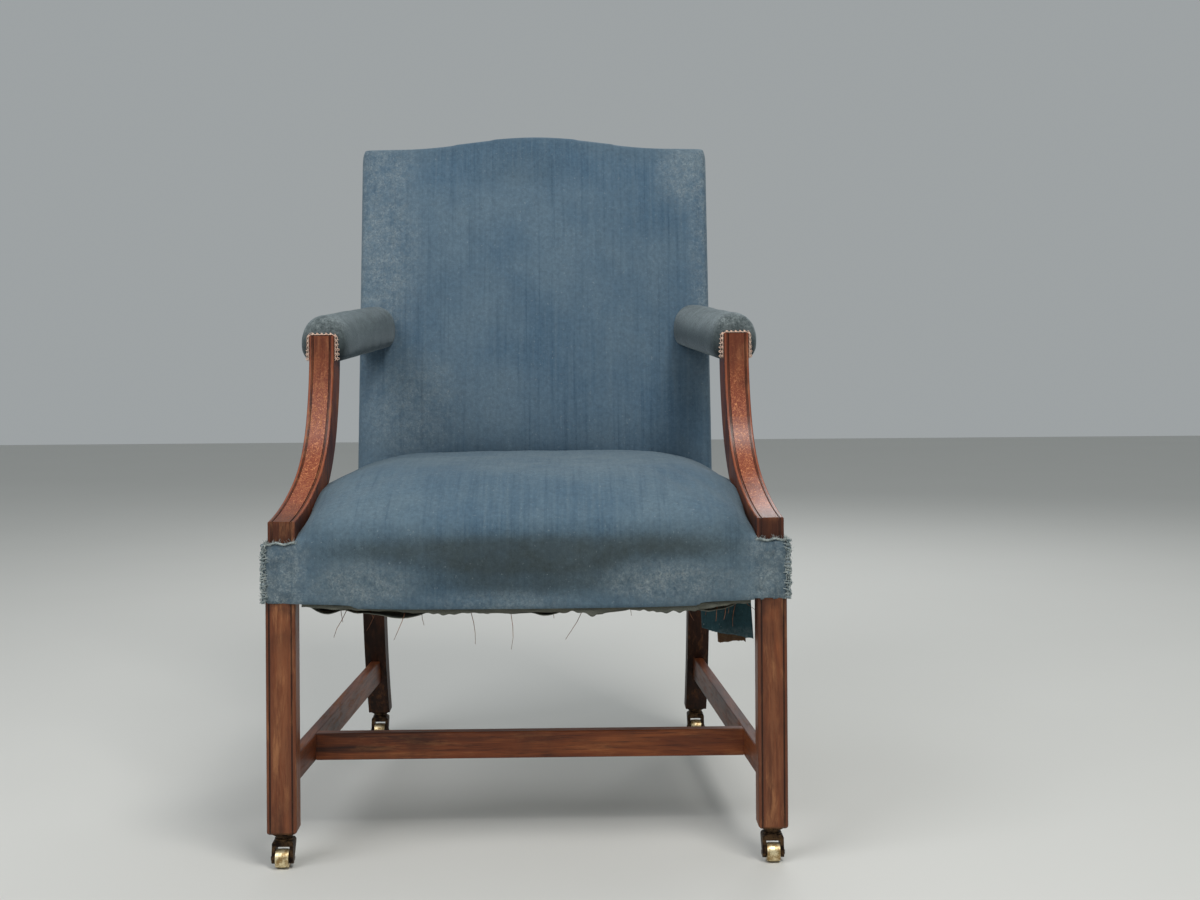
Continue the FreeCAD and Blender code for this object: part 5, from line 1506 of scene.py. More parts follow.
@dataclass
class BackCover:
    """Stuffed back with a serpentine top, and the cover behind it."""

    finishes: Finishes
    start: float = 0.050
    strip_start: float = -0.006
    edge: float = 0.026
    crown: float = 0.044
    corner: float = 0.013
    wrap: float = 0.005
    tuck: float = 0.0048
    thickness: float = 0.0030
    outside_thickness: float = 0.0012
    outside_inset: float = 0.0006
    outside_lift: float = 0.0012
    outside_hollow: float = 0.0016
    outside_round: float = 0.0030
    knee_up: float = 0.030
    voxel: float = 0.008
    swell: tuple[tuple[float, float], ...] = ((0, 0.72), (0.3, 1.0), (0.7, 0.96), (1.0, 0.62))
    rub_spots: tuple[Spot, ...] = (
        Spot(0.5, (-0.25, 0.24, 0.80), (0.09, 0.12, 0.24)),
        Spot(0.35, (-0.20, 0.20, 0.56), (0.12, 0.12, 0.12)),
        Spot(0.5, (0.25, 0.27, 0.93), (0.07, 0.1, 0.08)),
        Spot(0.5, (-0.25, 0.27, 0.94), (0.08, 0.1, 0.07)))
    soil_and_shadow_spots: tuple[Spot, ...] = (
        Spot(0.34, (-0.02, 0.26, 0.95), (0.15, 0.1, 0.07)),
        # Painted shadow that the right arm casts on the back.
        Spot(0.5, (0.28, 0.19, 0.60), (0.11, 0.1, 0.18)))
    stuffing: Stuffing = Stuffing(limit=0.006)

    @property
    def half(self) -> float:
        """Half width over the wrapped sides."""
        return SIZES.rear_half + self.wrap

    def top(self, across: float) -> float:
        """Height of the cover's top along the posts."""
        return SIZES.crest_height(across) + self.wrap

    def low(self, across: float) -> float:
        """Height of the cover's foot along the posts; in front of the posts it runs down to the seat."""
        return self.start - (self.start - self.strip_start) * blend_step(0.232, 0.250, abs(across))

    def depth(self, across: float, up: float) -> float:
        """How far the stuffing stands in front of the posts.

        Args:
            across: Distance from the middle.
            up: Distance above the seat rail along the posts.

        Returns:
            The depth, rounded off at the edges.
        """
        share = (up - self.start) / (self.top(0) - self.start)
        swell = curve_through(self.swell, share)
        flat = max(1 - (across / (self.half - self.corner)) ** 2, 0)
        full = self.edge + (self.crown - self.edge) * swell * flat
        near = min(self.half - abs(across), self.top(across) - up, up - self.low(across) + 0.004)
        part = min(max(near / self.corner, 0), 1)
        return full - self.corner * (1 - math.sqrt(1 - (1 - part) ** 2))

    def shape(self) -> Object:
        """Closed form of the stuffed back before it swells.

        Returns:
            The form, without a finish.
        """
        pile = MeshPile()
        columns, levels = 56, 56

        def spaced(step: int, count: int) -> float:
            """Share of a length, with the steps closer at both ends."""
            return 0.5 - 0.5 * math.cos(math.pi * step / count)

        front, rear = [], []
        for level in range(levels + 1):
            row, behind = [], []
            for column in range(columns + 1):
                across = self.half * (2 * spaced(column, columns) - 1)
                low = self.low(across)
                up = low + (self.top(across) - low) * spaced(level, levels)
                row.append(SIZES.on_back(across, -self.depth(across, up), up))
                behind.append(SIZES.on_back(across, SIZES.upright + self.tuck, up))
            front.append(row)
            rear.append(behind)
        first = pile.grid(front)
        last = pile.grid(rear)

        def rim(numbers: list[list[int]]) -> list[int]:
            """Point numbers round the edge of a grid."""
            around = numbers[0][:] + [row[-1] for row in numbers[1:]]
            return around + numbers[-1][-2::-1] + [row[0] for row in numbers[-2:0:-1]]

        one, two = rim(first), rim(last)
        for index in range(len(one)):
            after = (index + 1) % len(one)
            pile.faces.append((one[index], one[after], two[after], two[index]))
        return pile.build("back_cover")

    def on_posts(self, place: Vector) -> tuple[float, float]:
        """Where a point lies on the leaning posts.

        Args:
            place: The point.

        Returns:
            Its distance behind the posts' front and its height along them.
        """
        lean = math.radians(SIZES.rake)
        y, z = place.y - SIZES.post_y, place.z - SIZES.rail_top
        return y * math.cos(lean) - z * math.sin(lean), y * math.sin(lean) + z * math.cos(lean)

    def held(self, place: Vector) -> float:
        """Where the cover lies on the frame.

        Args:
            place: A point of the cover.

        Returns:
            The share there, from 0 to 1.
        """
        behind, up = self.on_posts(place)
        sides = blend_step(self.half - 0.02, self.half - 0.004, abs(place.x))
        over = blend_step(0.02, 0.004, self.top(place.x) - up)
        return max(blend_step(-0.012, -0.002, behind), sides, over)

    def rub(self, place: Vector) -> float:
        """Pale rubbing at the upper corners, down the edges and in the lower back.

        Args:
            place: A point of the cover.

        Returns:
            The share there, from 0 to 1.
        """
        _, up = self.on_posts(place)
        edge = 0.5 * blend_step(0.05, 0.0, self.half - abs(place.x)) * blend_step(0.12, 0.3, up)
        return max(edge, *(spot.at(place) for spot in self.rub_spots))

    def soil_and_shade(self, place: Vector) -> float:
        """Brownish fading at the top middle, grey-green darkening towards the foot, and painted shadow of the
        right arm down the right side.

        Args:
            place: A point of the cover.

        Returns:
            The share there, from 0 to 1.
        """
        _, up = self.on_posts(place)
        top = 0.4 * blend_step(0.06, 0.0, self.top(place.x) - up)
        low = 0.35 * blend_step(0.17, 0.08, up)
        return max(top, low, *(spot.at(place) for spot in self.soil_and_shadow_spots))

    def build(self) -> Object:
        """Make the stuffed back.

        Returns:
            The finished piece.
        """
        piece = self.shape()
        voxel_skin(piece, self.voxel)
        relax(piece, 3, lambda place: 1 - 0.4 * self.held(place))
        for point in piece.data.vertices:
            free = 1 - self.held(point.co)
            point.co.y += free * (0.0016 * lumps(point.co, 8, 5.3) + 0.0006 * lumps(point.co, 25, 2.1))
        self.stuffing.swell(piece, self.held)
        subdivide(piece)
        rear = SIZES.upright + self.tuck - 0.0025
        drop_faces(piece, lambda place, normal: self.on_posts(place)[0] > rear and normal.y > 0.5)
        thicken(piece, self.thickness)
        paint(piece, "rub", self.rub)
        paint(piece, "soil_and_shade", self.soil_and_shade)
        dress(piece, self.finishes.back_velvet, ["back_pad"])
        return piece

    def build_outside(self) -> Object:
        """Make the cover behind the posts, drawn tight and turned in at its edges.

        Returns:
            The finished sheet.
        """
        half = self.half - self.outside_inset
        columns, rows = 40, 60
        foot_run = SIZES.rail_top - SIZES.rail_low
        knee = Vector((0, SIZES.post_y + SIZES.post_depth, SIZES.rail_top))
        bend = SIZES.on_back(0, SIZES.upright, self.knee_up)
        knee_run = (bend - knee).length
        lines = []
        for row in range(rows + 1):
            down = row / rows
            line = []
            for column in range(columns + 1):
                share = 2 * column / columns - 1
                across = share * (half - self.outside_round * blend_step(0.97, 1.0, down))
                rounded = self.outside_round * blend_step(0.93, 1.0, abs(share))
                top = self.top(across) - self.outside_inset - rounded
                along = (foot_run + knee_run + top - self.knee_up) * row / rows
                aside = Vector((across, 0, 0))
                if along < foot_run:
                    place = Vector((across, knee.y, SIZES.rail_low + along))
                elif along < foot_run + knee_run:
                    place = (knee + aside).lerp(bend + aside, (along - foot_run) / knee_run)
                else:
                    place = SIZES.on_back(across, SIZES.upright, self.knee_up + along - foot_run - knee_run)
                edge = min(half - abs(across), (1 - down) * 0.6, down * 0.6)
                hollow = self.outside_hollow * blend_step(0.0, 0.05, edge)
                ripple = 0.0007 * lumps(place, 11, 4.4)
                place.y += self.outside_lift + self.outside_hollow - hollow + ripple
                line.append(place)
            lines.append(line)
        piece = cut_sheet("outside_cover", lines, self.outside_thickness)
        paint(piece, "rub", lambda place: 0.4 * blend_step(0.05, 0.0, half - abs(place.x)))
        paint(piece, "soil_and_shade", lambda place: 0.8 * blend_step(0.46, 0.36, place.z))
        dress(piece, self.finishes.outside_velvet, ["outside_back"])
        return piece


@dataclass
class ArmPads:
    """Padded arms, with braid where they meet the supports."""

    finishes: Finishes
    width: float = 0.067
    above: float = 0.049
    below: float = 0.0185
    length: float = 0.330
    nose: tuple[tuple[float, float], ...] = ((0.0050, 0.66), (0.0062, 0.79), (0.009, 0.88), (0.014, 0.945),
                                             (0.022, 0.985), (0.032, 1.0))
    voxel: float = 0.005
    support_gap: float = 0.0004
    sharp_angle: float = 55
    braid_gap: float = 0.0012
    braid_set: float = 0.0030
    braid_corner: float = 0.003
    loop_pitch: float = 0.0060
    loop_swing: float = 0.0027
    loop_steps: int = 16
    stuffing: Stuffing = Stuffing(limit=0.003)

    def section(self, share: float, run: float, count: int = 40) -> list[Vector]:
        """Ring of points round an arm.

        Args:
            share: Share of the full section.
            run: Distance behind the arm's origin.
            count: Number of points.

        Returns:
            The ring, in the arm's frame.
        """
        tall = share * (self.above + self.below)
        half = share * self.width / 2
        waist = (self.above - self.below) / 2 - 0.10 * tall
        ring = []
        for step in range(count):
            turn = 2 * math.pi * step / count
            across, up = math.cos(turn), math.sin(turn)
            if up >= 0:
                out, z = abs(across) ** 0.92, waist + 0.60 * tall * up ** 0.92
            else:
                out, z = abs(across) ** 0.55, waist - 0.40 * tall * abs(up) ** 0.60
            ring.append(Vector((half * math.copysign(out, across), run, z)))
        return ring

    def shape(self, side: Side) -> Object:
        """Closed form of an arm before it swells.

        Args:
            side: The chair's side.

        Returns:
            The form, without a finish.
        """
        place = SIZES.arm_place(side)
        start, steps = 0.02, 12
        stations = [(behind - SIZES.support_depth, share) for behind, share in self.nose]
        stations += [(start + (self.length - start) * step / steps, 1.0) for step in range(steps + 1)]
        pile = MeshPile()
        pile.body([[place @ point for point in self.section(share, run)] for run, share in stations])
        return pile.build("arm_cover_" + side.word)

    def build(self, side: Side) -> Object:
        """Make one padded arm.

        Args:
            side: The chair's side.

        Returns:
            The finished piece.
        """
        piece = self.shape(side)
        inverse = SIZES.arm_place(side).inverted()

        def held(place: Vector) -> float:
            """Where the arm's cover is tacked: underneath and at both ends.

            Args:
                place: A point of the cover.

            Returns:
                The share there, from 0 to 1.
            """
            local = inverse @ place
            under = blend_step(-0.012, -0.017, local.z) * 0.8
            ends = max(blend_step(-0.022, -0.031, local.y), blend_step(0.285, 0.305, local.y))
            return max(under, ends)

        def rub(place: Vector) -> float:
            """Pale rubbing and painted sheen along the top, most at the front.

            Args:
                place: A point of the cover.

            Returns:
                The share there, from 0 to 1.
            """
            local = inverse @ place
            # Painted sheen along the top of the arm, with rubbing.
            top = blend_step(0.0, 0.045, local.z)
            return 0.5 * top + 0.2 * top * blend_step(0.03, -0.02, local.y)

        def soil_and_shade(place: Vector) -> float:
            """Dulling all over, with painted shade that makes the lower sides darkest."""
            local = inverse @ place
            # 0.30 is dulling all over; the rest is painted shade on the lower sides.
            return 0.30 + 0.7 * blend_step(0.025, -0.012, local.z)

        voxel_skin(piece, self.voxel)
        relax(piece, 3, lambda place: 1.0)
        for point in piece.data.vertices:
            free = 1 - held(point.co)
            point.co.z += free * 0.0012 * lumps(point.co, 16, 6.1)
            point.co.x += free * 0.0010 * lumps(point.co, 18, 9.4)
        self.stuffing.swell(piece, held)
        subdivide(piece)
        carve(piece, [support_room(side, self.support_gap)])
        piece.data.set_sharp_from_angle(angle=math.radians(self.sharp_angle))
        paint(piece, "rub", rub)
        paint(piece, "soil_and_shade", soil_and_shade)
        dress(piece, self.finishes.arm_velvet, ["arm_pad_" + side.word])
        return piece

    def braid_path(self, side: Side) -> list[Vector]:
        """Corners of the braid's middle line, round the top of a support.

        Args:
            side: The chair's side.

        Returns:
            The corners, from the lower left over the top to the lower right.
        """
        out = SIZES.support_width / 2 + self.braid_gap
        low = SIZES.support_top - SIZES.arm_drop - self.below + 0.002
        high = SIZES.support_top + self.braid_gap
        run = SIZES.support_run + self.braid_set
        middle = -side.value * SIZES.arm_middle
        place = SIZES.side_place(side)
        cut = self.braid_corner
        corners = ((-out, low), (-out, high - cut), (-out + cut, high), (out - cut, high), (out, high - cut),
                   (out, low))
        return [place @ Vector((middle + across, run, height)) for across, height in corners]

    def build_braid(self, side: Side) -> Object:
        """Make the braid: a thick and a thin looped strand.

        Args:
            side: The chair's side.

        Returns:
            The finished piece.
        """
        corners = self.braid_path(side)
        forward = (SIZES.side_place(side).to_3x3() @ Vector((0, -1, 0))).normalized()
        lengths = [0.0]
        for one, two in zip(corners, corners[1:]):
            lengths.append(lengths[-1] + (two - one).length)
        total = lengths[-1]

        def at(along: float) -> tuple[Vector, Vector]:
            """Point at a length along the braid's line.

            Args:
                along: The length.

            Returns:
                The point, and the way across the line there.
            """
            along = min(max(along, 0.0), total)
            for index in range(len(corners) - 1):
                if along <= lengths[index + 1] or index == len(corners) - 2:
                    way = (corners[index + 1] - corners[index]).normalized()
                    return corners[index] + way * (along - lengths[index]), way.cross(forward).normalized()
            return corners[-1], forward

        pile = MeshPile()
        steps = int(total / self.loop_pitch) * self.loop_steps
        for radius, width, height in ((0.00075, 0.0033, 0.0), (0.00055, 0.0019, 0.0008)):
            path = []
            for step in range(steps + 1):
                turn = 2 * math.pi * step / self.loop_steps
                along = total * step / steps + self.loop_swing * math.sin(turn)
                middle, across = at(along)
                lean = (across * -0.72 - forward * 0.70).normalized()
                offset = width * (1 - math.cos(turn)) if height == 0 else width * (1 + math.cos(turn))
                path.append(middle + lean * offset + forward * (height + 0.0004 * math.sin(2 * turn)))
            pile.tube(path, radius, 5)
        piece = pile.build("arm_gimp_" + side.word)
        return dress(piece, self.finishes.gimp, ["arm_braid_" + side.word])


@dataclass
class Underside:
    """Cloth under the seat, sagging along the front, the cover's raw hem and its torn strip."""

    finishes: Finishes
    seat: SeatCover
    droop: float = 0.021
    flap_left: float = 0.224
    flap_width: float = 0.066
    flap_drop: float = 0.062
    flap_setback: float = 0.070
    flap_fold: float = 0.0085
    flap_thickness: float = 0.0013
    hessian_behind: float = 0.0024
    lining_gap: float = 0.005
    lining_thickness: float = 0.0007
    hem_half: float = 0.284
    hem_tuck: float = 0.004
    hem_drop: float = 0.0095
    hem_thickness: float = 0.0008

    def cloth_low(self, x: float, y: float) -> float:
        """Height of the lining, which hangs in scallops along the front.

        Args:
            x: Distance to the right of the middle.
            y: Depth in the chair's frame.

        Returns:
            The height above the floor.
        """
        front = blend_step(0.10, 0.012, y - SIZES.front_y)
        ragged = 0.5 + 0.5 * lumps(Vector((x, 0.3 * y, 0)), 21, 6.6)
        torn = 0.5 + 0.5 * lumps(Vector((x, 0, 0)), 62, 1.9)
        uneven = 0.15 + 0.9 * ragged ** 1.4 + 0.25 * torn
        hang = self.droop * front * uneven * blend_step(0.288, 0.25, abs(x))
        back = min(max((y - SIZES.front_y) / SIZES.seat_run, 0), 1)
        broad = 0.004 * math.sin(math.pi * back) * blend_step(0.3, 0.1, abs(x))
        return SIZES.rail_low - 0.0012 - hang - broad

    def build_lining(self) -> Object:
        """Make the cloth under the rails.

        Returns:
            The finished sheet.
        """
        columns, rows, gap = 110, 60, self.lining_gap
        front, rear = SIZES.front_y + gap, SIZES.post_y + SIZES.post_depth - gap
        lines = []
        for row in range(rows + 1):
            y = front + (rear - front) * row / rows
            half = SIZES.side_half(y) - gap
            if y < SIZES.front_y + SIZES.leg + gap:
                half = SIZES.front_half - SIZES.leg - gap
            if y > SIZES.post_y - gap:
                half = SIZES.rear_half - SIZES.post_width - gap
            line = []
            for column in range(columns + 1):
                x = half * (2 * column / columns - 1)
                crumple = 0.0006 * lumps(Vector((x, y, 0)), 30, 8.2)
                line.append(Vector((x, y, self.cloth_low(x, y) + crumple)))
            lines.append(line)
        piece = cut_sheet("bottom_lining", lines, self.lining_thickness)
        dress(piece, self.finishes.lining, ["bottom_cloth"])
        return piece

    def build_hem(self) -> Object:
        """Make the pale raw hem that hangs below the front of the seat cover.

        Returns:
            The finished sheet.
        """
        columns, rows = 260, 5
        lines = []
        for row in range(rows + 1):
            down = row / rows
            line = []
            for column in range(columns + 1):
                x = self.hem_half * (2 * column / columns - 1)
                edge = Vector((x, SIZES.front_y, 0))
                right = soft_spot(edge, (0.13, SIZES.front_y, 0), (0.13, 1, 1))
                left = 0.6 * soft_spot(edge, (-0.09, SIZES.front_y, 0), (0.08, 1, 1))
                full = 0.22 + 0.78 * max(right, left)
                ragged = max(0.42 + 0.85 * lumps(edge, 33, 2.4) + 0.5 * lumps(edge, 120, 5.3), 0.0)
                drop = 0.0004 + self.hem_drop * full * ragged
                fold = 0.0042 * lumps(edge, 70, 7.1) * down + 0.0018
                height = self.seat.low_edge(edge) + self.hem_tuck - (self.hem_tuck + drop) * down
                line.append(Vector((x, SIZES.front_y + fold, height)))
            lines.append(line)
        piece = cut_sheet("ragged_hem", lines, self.hem_thickness)
        dress(piece, self.finishes.hem)
        return piece

    def flap_point(self, across: float, down: float) -> Vector:
        """Point of the torn strip, which hangs in two soft folds.

        Args:
            across: Distance along its upper edge.
            down: Distance below that edge.

        Returns:
            The point in the chair's frame.
        """
        fold = self.flap_fold * math.sin(2 * math.pi * across / self.flap_width)
        return Vector((self.flap_left + across + 0.003 * down / self.flap_drop,
                       SIZES.front_y + self.flap_setback - fold - 0.010 * down / self.flap_drop,
                       SIZES.rail_low - 0.0022 - down))

    def build_flap(self) -> list[Object]:
        """Make the torn strip of velvet and the strip of hessian behind it.

        Returns:
            The two sheets.
        """
        columns, rows = 36, 26
        made = []
        for name, low, high, lengths, behind, finish, slot, nodes in (
                ("torn_flap", 0.0, 1.0, (0.76, 1.0), 0.0,
                 self.finishes.flap_velvet, "velvet", ["cover_flap"]),
                ("torn_hessian", 0.30, 0.86, (1.04, 1.08), self.hessian_behind,
                 self.finishes.hessian, "hessian", [])):
            lines = []
            for row in range(rows + 1):
                line = []
                for column in range(columns + 1):
                    share = low + (high - low) * column / columns
                    long = lengths[0] + (lengths[1] - lengths[0]) * min(1.15 * share, 1.0)
                    ragged = 1 + 0.025 * lumps(Vector((share * 9, 0, 0)), 3, 2.2)
                    down = self.flap_drop * long * ragged * row / rows
                    place = self.flap_point(share * self.flap_width, down)
                    place.y += behind
                    line.append(place)
                lines.append(line)
            piece = cut_sheet(name, lines, self.flap_thickness)
            made.append(dress(piece, finish, nodes))
        paint(made[0], "rub", lambda place: 0.3 * blend_step(0.29, 0.283, place.z))
        paint(made[0], "soil_and_shade", lambda place: 0.5)
        return made


@dataclass
class FrayedEdges:
    """Raw edges and loose threads of the worn cover."""

    finishes: Finishes
    seed: int = 41
    edge_low: float = 0.3365
    edge_high: float = 0.4105
    seam_high: float = 0.4115
    seam_lumps: int = 17
    corner_threads: int = 90
    corner_stitches: int = 15
    foot_threads: int = 230
    hair_places: tuple[float, ...] = (-0.236, -0.225, -0.205, -0.188, -0.150, -0.138, -0.075, -0.02, 0.03,
                                      0.075, 0.13, 0.20, 0.235, 0.243, 0.252, 0.262, 0.268, 0.275)

    def thread(self, pile: MeshPile, start: Vector, way: Vector, length: float, radius: float,
               draw: random.Random, bend: float = 0.6) -> None:
        """Add one bent thread.

        Args:
            pile: The mesh that takes it.
            start: Where it comes out.
            way: The way it sets off.
            length: Its length.
            radius: Its radius.
            draw: Source of chance.
            bend: How much it curls.
        """
        path = [start.copy()]
        heading = way.normalized()
        steps = 4
        for _ in range(steps):
            stray = Vector((draw.uniform(-1, 1), draw.uniform(-1, 1), draw.uniform(-1, 1)))
            heading = (heading + bend * 0.5 * stray).normalized()
            path.append(path[-1] + heading * length / steps)
        pile.tube(path, radius, 4, taper=0.5)

    def build_corner(self, side: Side) -> Object:
        """Make the sewn, worn edge down an outer front corner of the seat.

        Args:
            side: The chair's side.

        Returns:
            The finished piece.
        """
        draw = random.Random(self.seed + side.value)
        pile = MeshPile()
        x = side.value * (SIZES.front_half + 0.0022)
        y = SIZES.front_y - 0.0016
        low, high = self.edge_low, self.edge_high
        strands, steps = 3, 30
        for strand in range(strands):
            out, front = side.value * (0.0016 - 0.0022 * strand), 0.0010 * strand
            path = []
            for step in range(steps + 1):
                sway = Vector((side.value * draw.uniform(-0.0022, 0.0016), draw.uniform(-0.0018, 0.0010), 0))
                path.append(Vector((x + out, y - 0.0022 + front, low + (high - low) * step / steps)) + sway)
            pile.tube(path, 0.00062, 5)
        for _ in range(self.corner_stitches):
            height = draw.uniform(low, high)
            near = Vector((x - side.value * draw.uniform(0.004, 0.008), y - 0.0018, height + 0.002))
            ridge = Vector((x + side.value * 0.0030, y - 0.0034, height + draw.uniform(-0.002, 0.002)))
            far = Vector((x + side.value * 0.0020, y + 0.0060, height - 0.002))
            pile.tube([near, near.lerp(ridge, 0.6), ridge, ridge.lerp(far, 0.4), far], 0.00050, 4)
        for _ in range(self.corner_threads):
            start = Vector((x + side.value * draw.uniform(-0.004, 0.003), y - 0.0016,
                            draw.uniform(low, high)))
            way = Vector((side.value * draw.uniform(-1, 1), draw.uniform(-1, 0.3), draw.uniform(-1.2, 1.2)))
            self.thread(pile, start, way, draw.uniform(0.002, 0.006), 0.00024, draw)
        return dress(pile.build("frayed_corner_" + side.word), self.finishes.fray)

    def build_seam(self, side: Side) -> Object:
        """Make the lumpy turned edge that is sewn down an outer front corner.

        Args:
            side: The chair's side.

        Returns:
            The finished piece.
        """
        draw = random.Random(self.seed * 5 + side.value)
        pile = MeshPile()
        low, high, count = self.edge_low, self.seam_high, self.seam_lumps
        for step in range(count):
            middle = Vector((side.value * (SIZES.front_half + 0.0020 + draw.uniform(-0.0006, 0.0008)),
                             SIZES.front_y - 0.0012 + draw.uniform(-0.0006, 0.0006),
                             low + (high - low) * (step + 0.5) / count))
            reach = (high - low) / count * 0.5
            lean = Vector((0.0006 * draw.uniform(-1, 1), 0.0006 * draw.uniform(-1, 1), 1)).normalized()
            fat = draw.uniform(0.0021, 0.0038)
            path = [middle + lean * reach * part for part in (-1.05, -0.8, -0.4, 0, 0.4, 0.8, 1.05)]
            pile.tube(path, [fat * part for part in (0.45, 0.72, 0.95, 1, 0.95, 0.72, 0.45)], 9)
        piece = pile.build("corner_seam_" + side.word)
        paint(piece, "rub", lambda place: 0.9)
        paint(piece, "soil_and_shade", lambda place: 0.5)
        return dress(piece, self.finishes.seat_velvet)

    def build_foot(self, side: Side) -> Object:
        """Make the raw edge of the cover round the foot of an arm support.

        Args:
            side: The chair's side.

        Returns:
            The finished piece.
        """
        draw = random.Random(self.seed * 3 + side.value)
        place = SIZES.side_place(side)
        pile = MeshPile()
        inner = SIZES.support_inset + SIZES.support_width
        front, steps = SIZES.support_setback, 12
        line = [(0.0005, front + 0.045), (0.0005, front - 0.002), (-0.002, front - 0.004),
                (-inner * 0.5, front - 0.0045), (-inner - 0.001, front - 0.003),
                (-inner - 0.002, front + 0.010)]
        points = []
        for one, two in zip(line, line[1:]):
            for step in range(steps):
                share = step / steps
                across = one[0] + (two[0] - one[0]) * share
                run = one[1] + (two[1] - one[1]) * share
                lift = 0.0016 + 0.0012 * math.sin(across * 310)
                points.append(place @ Vector((side.value * across, run, SIZES.rail_top + lift)))
        pile.tube(points, [draw.uniform(0.0008, 0.0018) for _ in points], 6)
        for _ in range(self.foot_threads):
            start = draw.choice(points)
            way = Vector((draw.uniform(-0.6, 0.6), draw.uniform(-1, 0.1), draw.uniform(-0.2, 1.0)))
            self.thread(pile, start, way, draw.uniform(0.002, 0.007), 0.00022, draw)
        return dress(pile.build("frayed_foot_" + side.word), self.finishes.fray)

    def build_hair(self) -> Object:
        """Make the loose brown threads that hang under the front of the seat.

        Returns:
            The finished piece.
        """
        draw = random.Random(self.seed * 7)
        pile = MeshPile()
        for across in self.hair_places:
            start = Vector((across, SIZES.front_y + draw.uniform(0.006, 0.03), SIZES.rail_low - 0.004))
            way = Vector((draw.uniform(-0.5, 0.5), draw.uniform(-0.3, 0.1), -1))
            self.thread(pile, start, way, draw.uniform(0.018, 0.064), 0.00068, draw, 0.36)
        return dress(pile.build("loose_threads"), self.finishes.hair)


@dataclass
class WoodAndMetal:
    """The rigid pieces, which keep their shapes and get their finishes."""

    finishes: Finishes
    sharp_angle: float = 32

    def dress(self) -> None:
        """Give each rigid piece its material."""
        chosen = {
            "front_leg": self.finishes.legs, "rear_post": self.finishes.rear_legs,
            "side_stretcher": self.finishes.side_rails, "cross_stretcher": self.finishes.cross_rail,
            "arm_support": self.finishes.supports, "castor_plate": self.finishes.bronze,
            "castor_horn": self.finishes.bronze, "castor_axle": self.finishes.steel,
            "castor_wheel": self.finishes.brass, "castor_screws": self.finishes.steel,
            "seat_webbing": self.finishes.webbing, "back_webbing": self.finishes.webbing,
            "seat_hessian": self.finishes.hessian, "back_hessian": self.finishes.hessian,
        }
        for name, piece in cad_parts.items():
            if piece.hide_render:
                continue
            fitting = (value for start, value in chosen.items() if name.startswith(start))
            finish = next(fitting, self.finishes.beech)
            piece.data.materials.clear()
            piece.data.materials.append(finish)
            piece.data.set_sharp_from_angle(angle=math.radians(self.sharp_angle))
            LOG.info("finished %s with %s", name, finish.name)


@dataclass(frozen=True)
class Lamp:
    """One soft lamp, which points at the chair."""

    name: str
    place: Point
    target: Point
    size: float
    power: float
    colour: Colour

    def build(self) -> Object:
        """Make the lamp.

        Returns:
            The lamp, in the scene.
        """
        lamp = bpy.data.lights.new(self.name, "AREA")
        lamp.size = self.size
        lamp.energy = self.power
        lamp.color = self.colour
        made = bpy.data.objects.new(self.name, lamp)
        made.location = self.place
        way = Vector(self.target) - Vector(self.place)
        made.rotation_euler = way.to_track_quat("-Z", "Y").to_euler()
        bpy.context.scene.collection.objects.link(made)
        return made


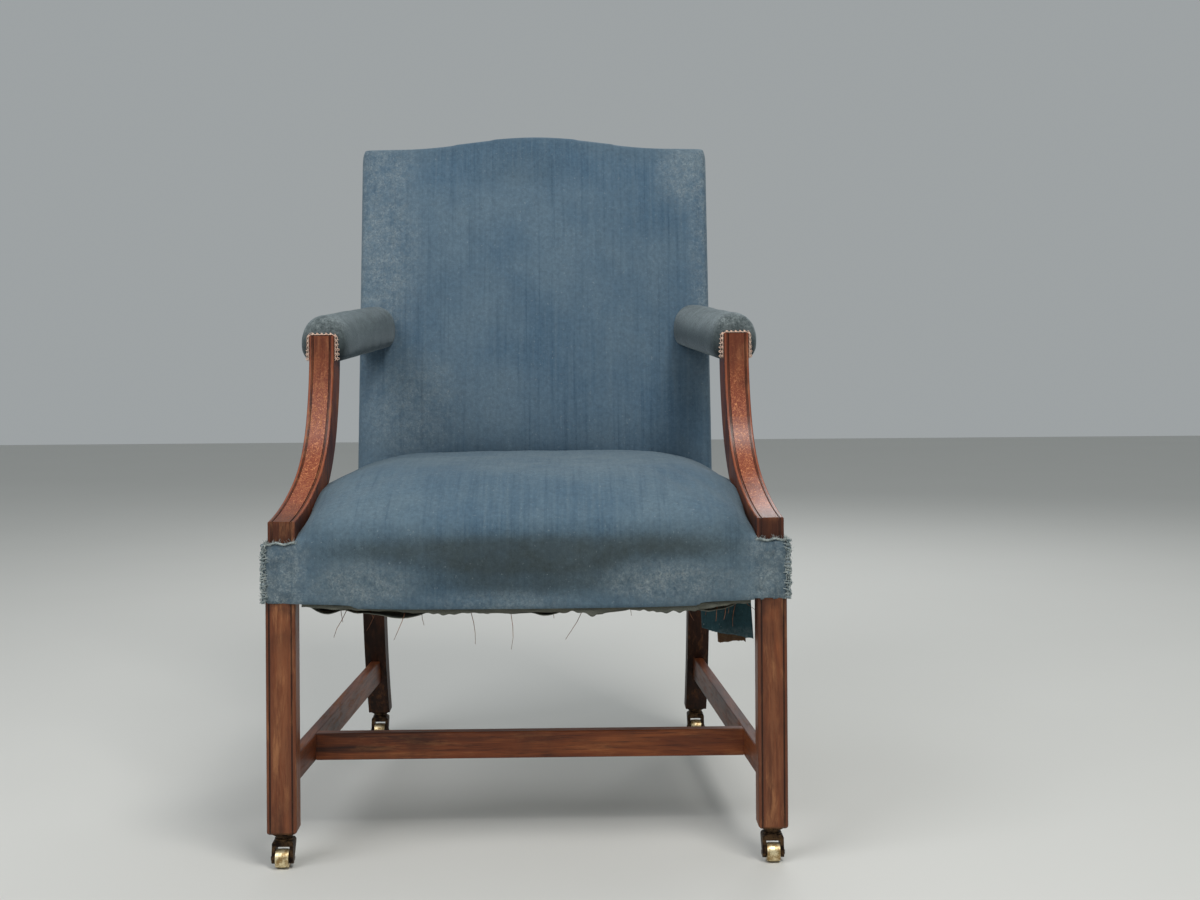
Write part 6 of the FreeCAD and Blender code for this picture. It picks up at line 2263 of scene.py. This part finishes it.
@dataclass
class Studio:
    """Floor, light and camera."""

    camera_place: Point = (0.0548, -2.33805, 0.6857)
    yaw: float = -1.14
    roll: float = -0.37
    lens: float = 47.5
    sensor: float = 36
    shift_up: float = -0.1049
    far: float = 50
    floor_half: float = 7.0
    pale: Colour = tone(206, 206, 202)
    dusty: Colour = tone(196, 195, 190)
    sky: Colour = tone(208, 214, 216)
    sky_strength: float = 0.54
    lamps: tuple[Lamp, ...] = (
        Lamp("key", (0.75, -1.6, 2.9), (0, 0, 0.5), 1.0, 47, (1.0, 0.98, 0.95)),
        Lamp("fill", (-1.7, -1.8, 2.5), (0, 0, 0.5), 1.8, 39, (0.98, 0.98, 1.0)),
        Lamp("rear", (0.6, 2.4, 2.4), (0, 0, 0.6), 1.8, 30, (0.98, 0.99, 1.0)))

    def build_floor(self) -> Object:
        """Make the plain pale floor.

        Returns:
            The floor.
        """
        ends = (-self.floor_half, self.floor_half)
        pile = MeshPile()
        pile.grid([[Vector((x, y, 0.0)) for x in ends] for y in ends])
        made = pile.build("floor")
        shade = Shader("pale_floor")
        shade.set("Base Color", shade.mix(shade.spread(shade.cloud(3, 3), 0, 0.25), self.pale, self.dusty))
        shade.set("Roughness", 0.8)
        made.data.materials.append(shade.material)
        return made

    def build_sky(self) -> None:
        """Make the even light from all round, and the plain view of colours."""
        world = bpy.data.worlds.new("sky")
        world.use_nodes = True
        ground = world.node_tree.nodes["Background"]
        ground.inputs["Color"].default_value = (*self.sky, 1)
        ground.inputs["Strength"].default_value = self.sky_strength
        bpy.context.scene.world = world
        bpy.context.scene.view_settings.view_transform = "Standard"

    def build_camera(self) -> Object:
        """Make the camera at the photograph's angle.

        Returns:
            The camera, which is the scene's own.
        """
        lens = bpy.data.cameras.new("camera")
        lens.lens = self.lens
        lens.sensor_width = self.sensor
        lens.sensor_fit = "HORIZONTAL"
        lens.shift_y = self.shift_up
        lens.clip_end = self.far
        camera = bpy.data.objects.new("camera", lens)
        turn = Matrix.Rotation(math.radians(self.yaw), 4, "Z") @ Matrix.Rotation(math.pi / 2, 4, "X")
        camera.matrix_world = (Matrix.Translation(self.camera_place) @ turn
                               @ Matrix.Rotation(math.radians(self.roll), 4, "Z"))
        bpy.context.scene.collection.objects.link(camera)
        bpy.context.scene.camera = camera
        return camera

    def build(self) -> None:
        """Make the floor, the lamps, the sky and the camera."""
        self.build_floor()
        for lamp in self.lamps:
            lamp.build()
        self.build_sky()
        self.build_camera()


def main() -> None:
    """Build the whole visual model in order and log each piece."""
    logging.basicConfig(level=logging.INFO, format="%(name)s: %(message)s")
    Studio().build()
    finishes = Finishes()
    seat = SeatCover(finishes)
    seat.build()
    back = BackCover(finishes)
    back.build()
    back.build_outside()
    arms = ArmPads(finishes)
    for side in Side:
        arms.build(side)
        arms.build_braid(side)
    underside = Underside(finishes, seat)
    underside.build_lining()
    underside.build_hem()
    underside.build_flap()
    fray = FrayedEdges(finishes)
    for side in Side:
        fray.build_seam(side)
        fray.build_corner(side)
        fray.build_foot(side)
    fray.build_hair()
    WoodAndMetal(finishes).dress()
    LOG.info("the chair is whole")


if __name__ == "__main__":
    main()
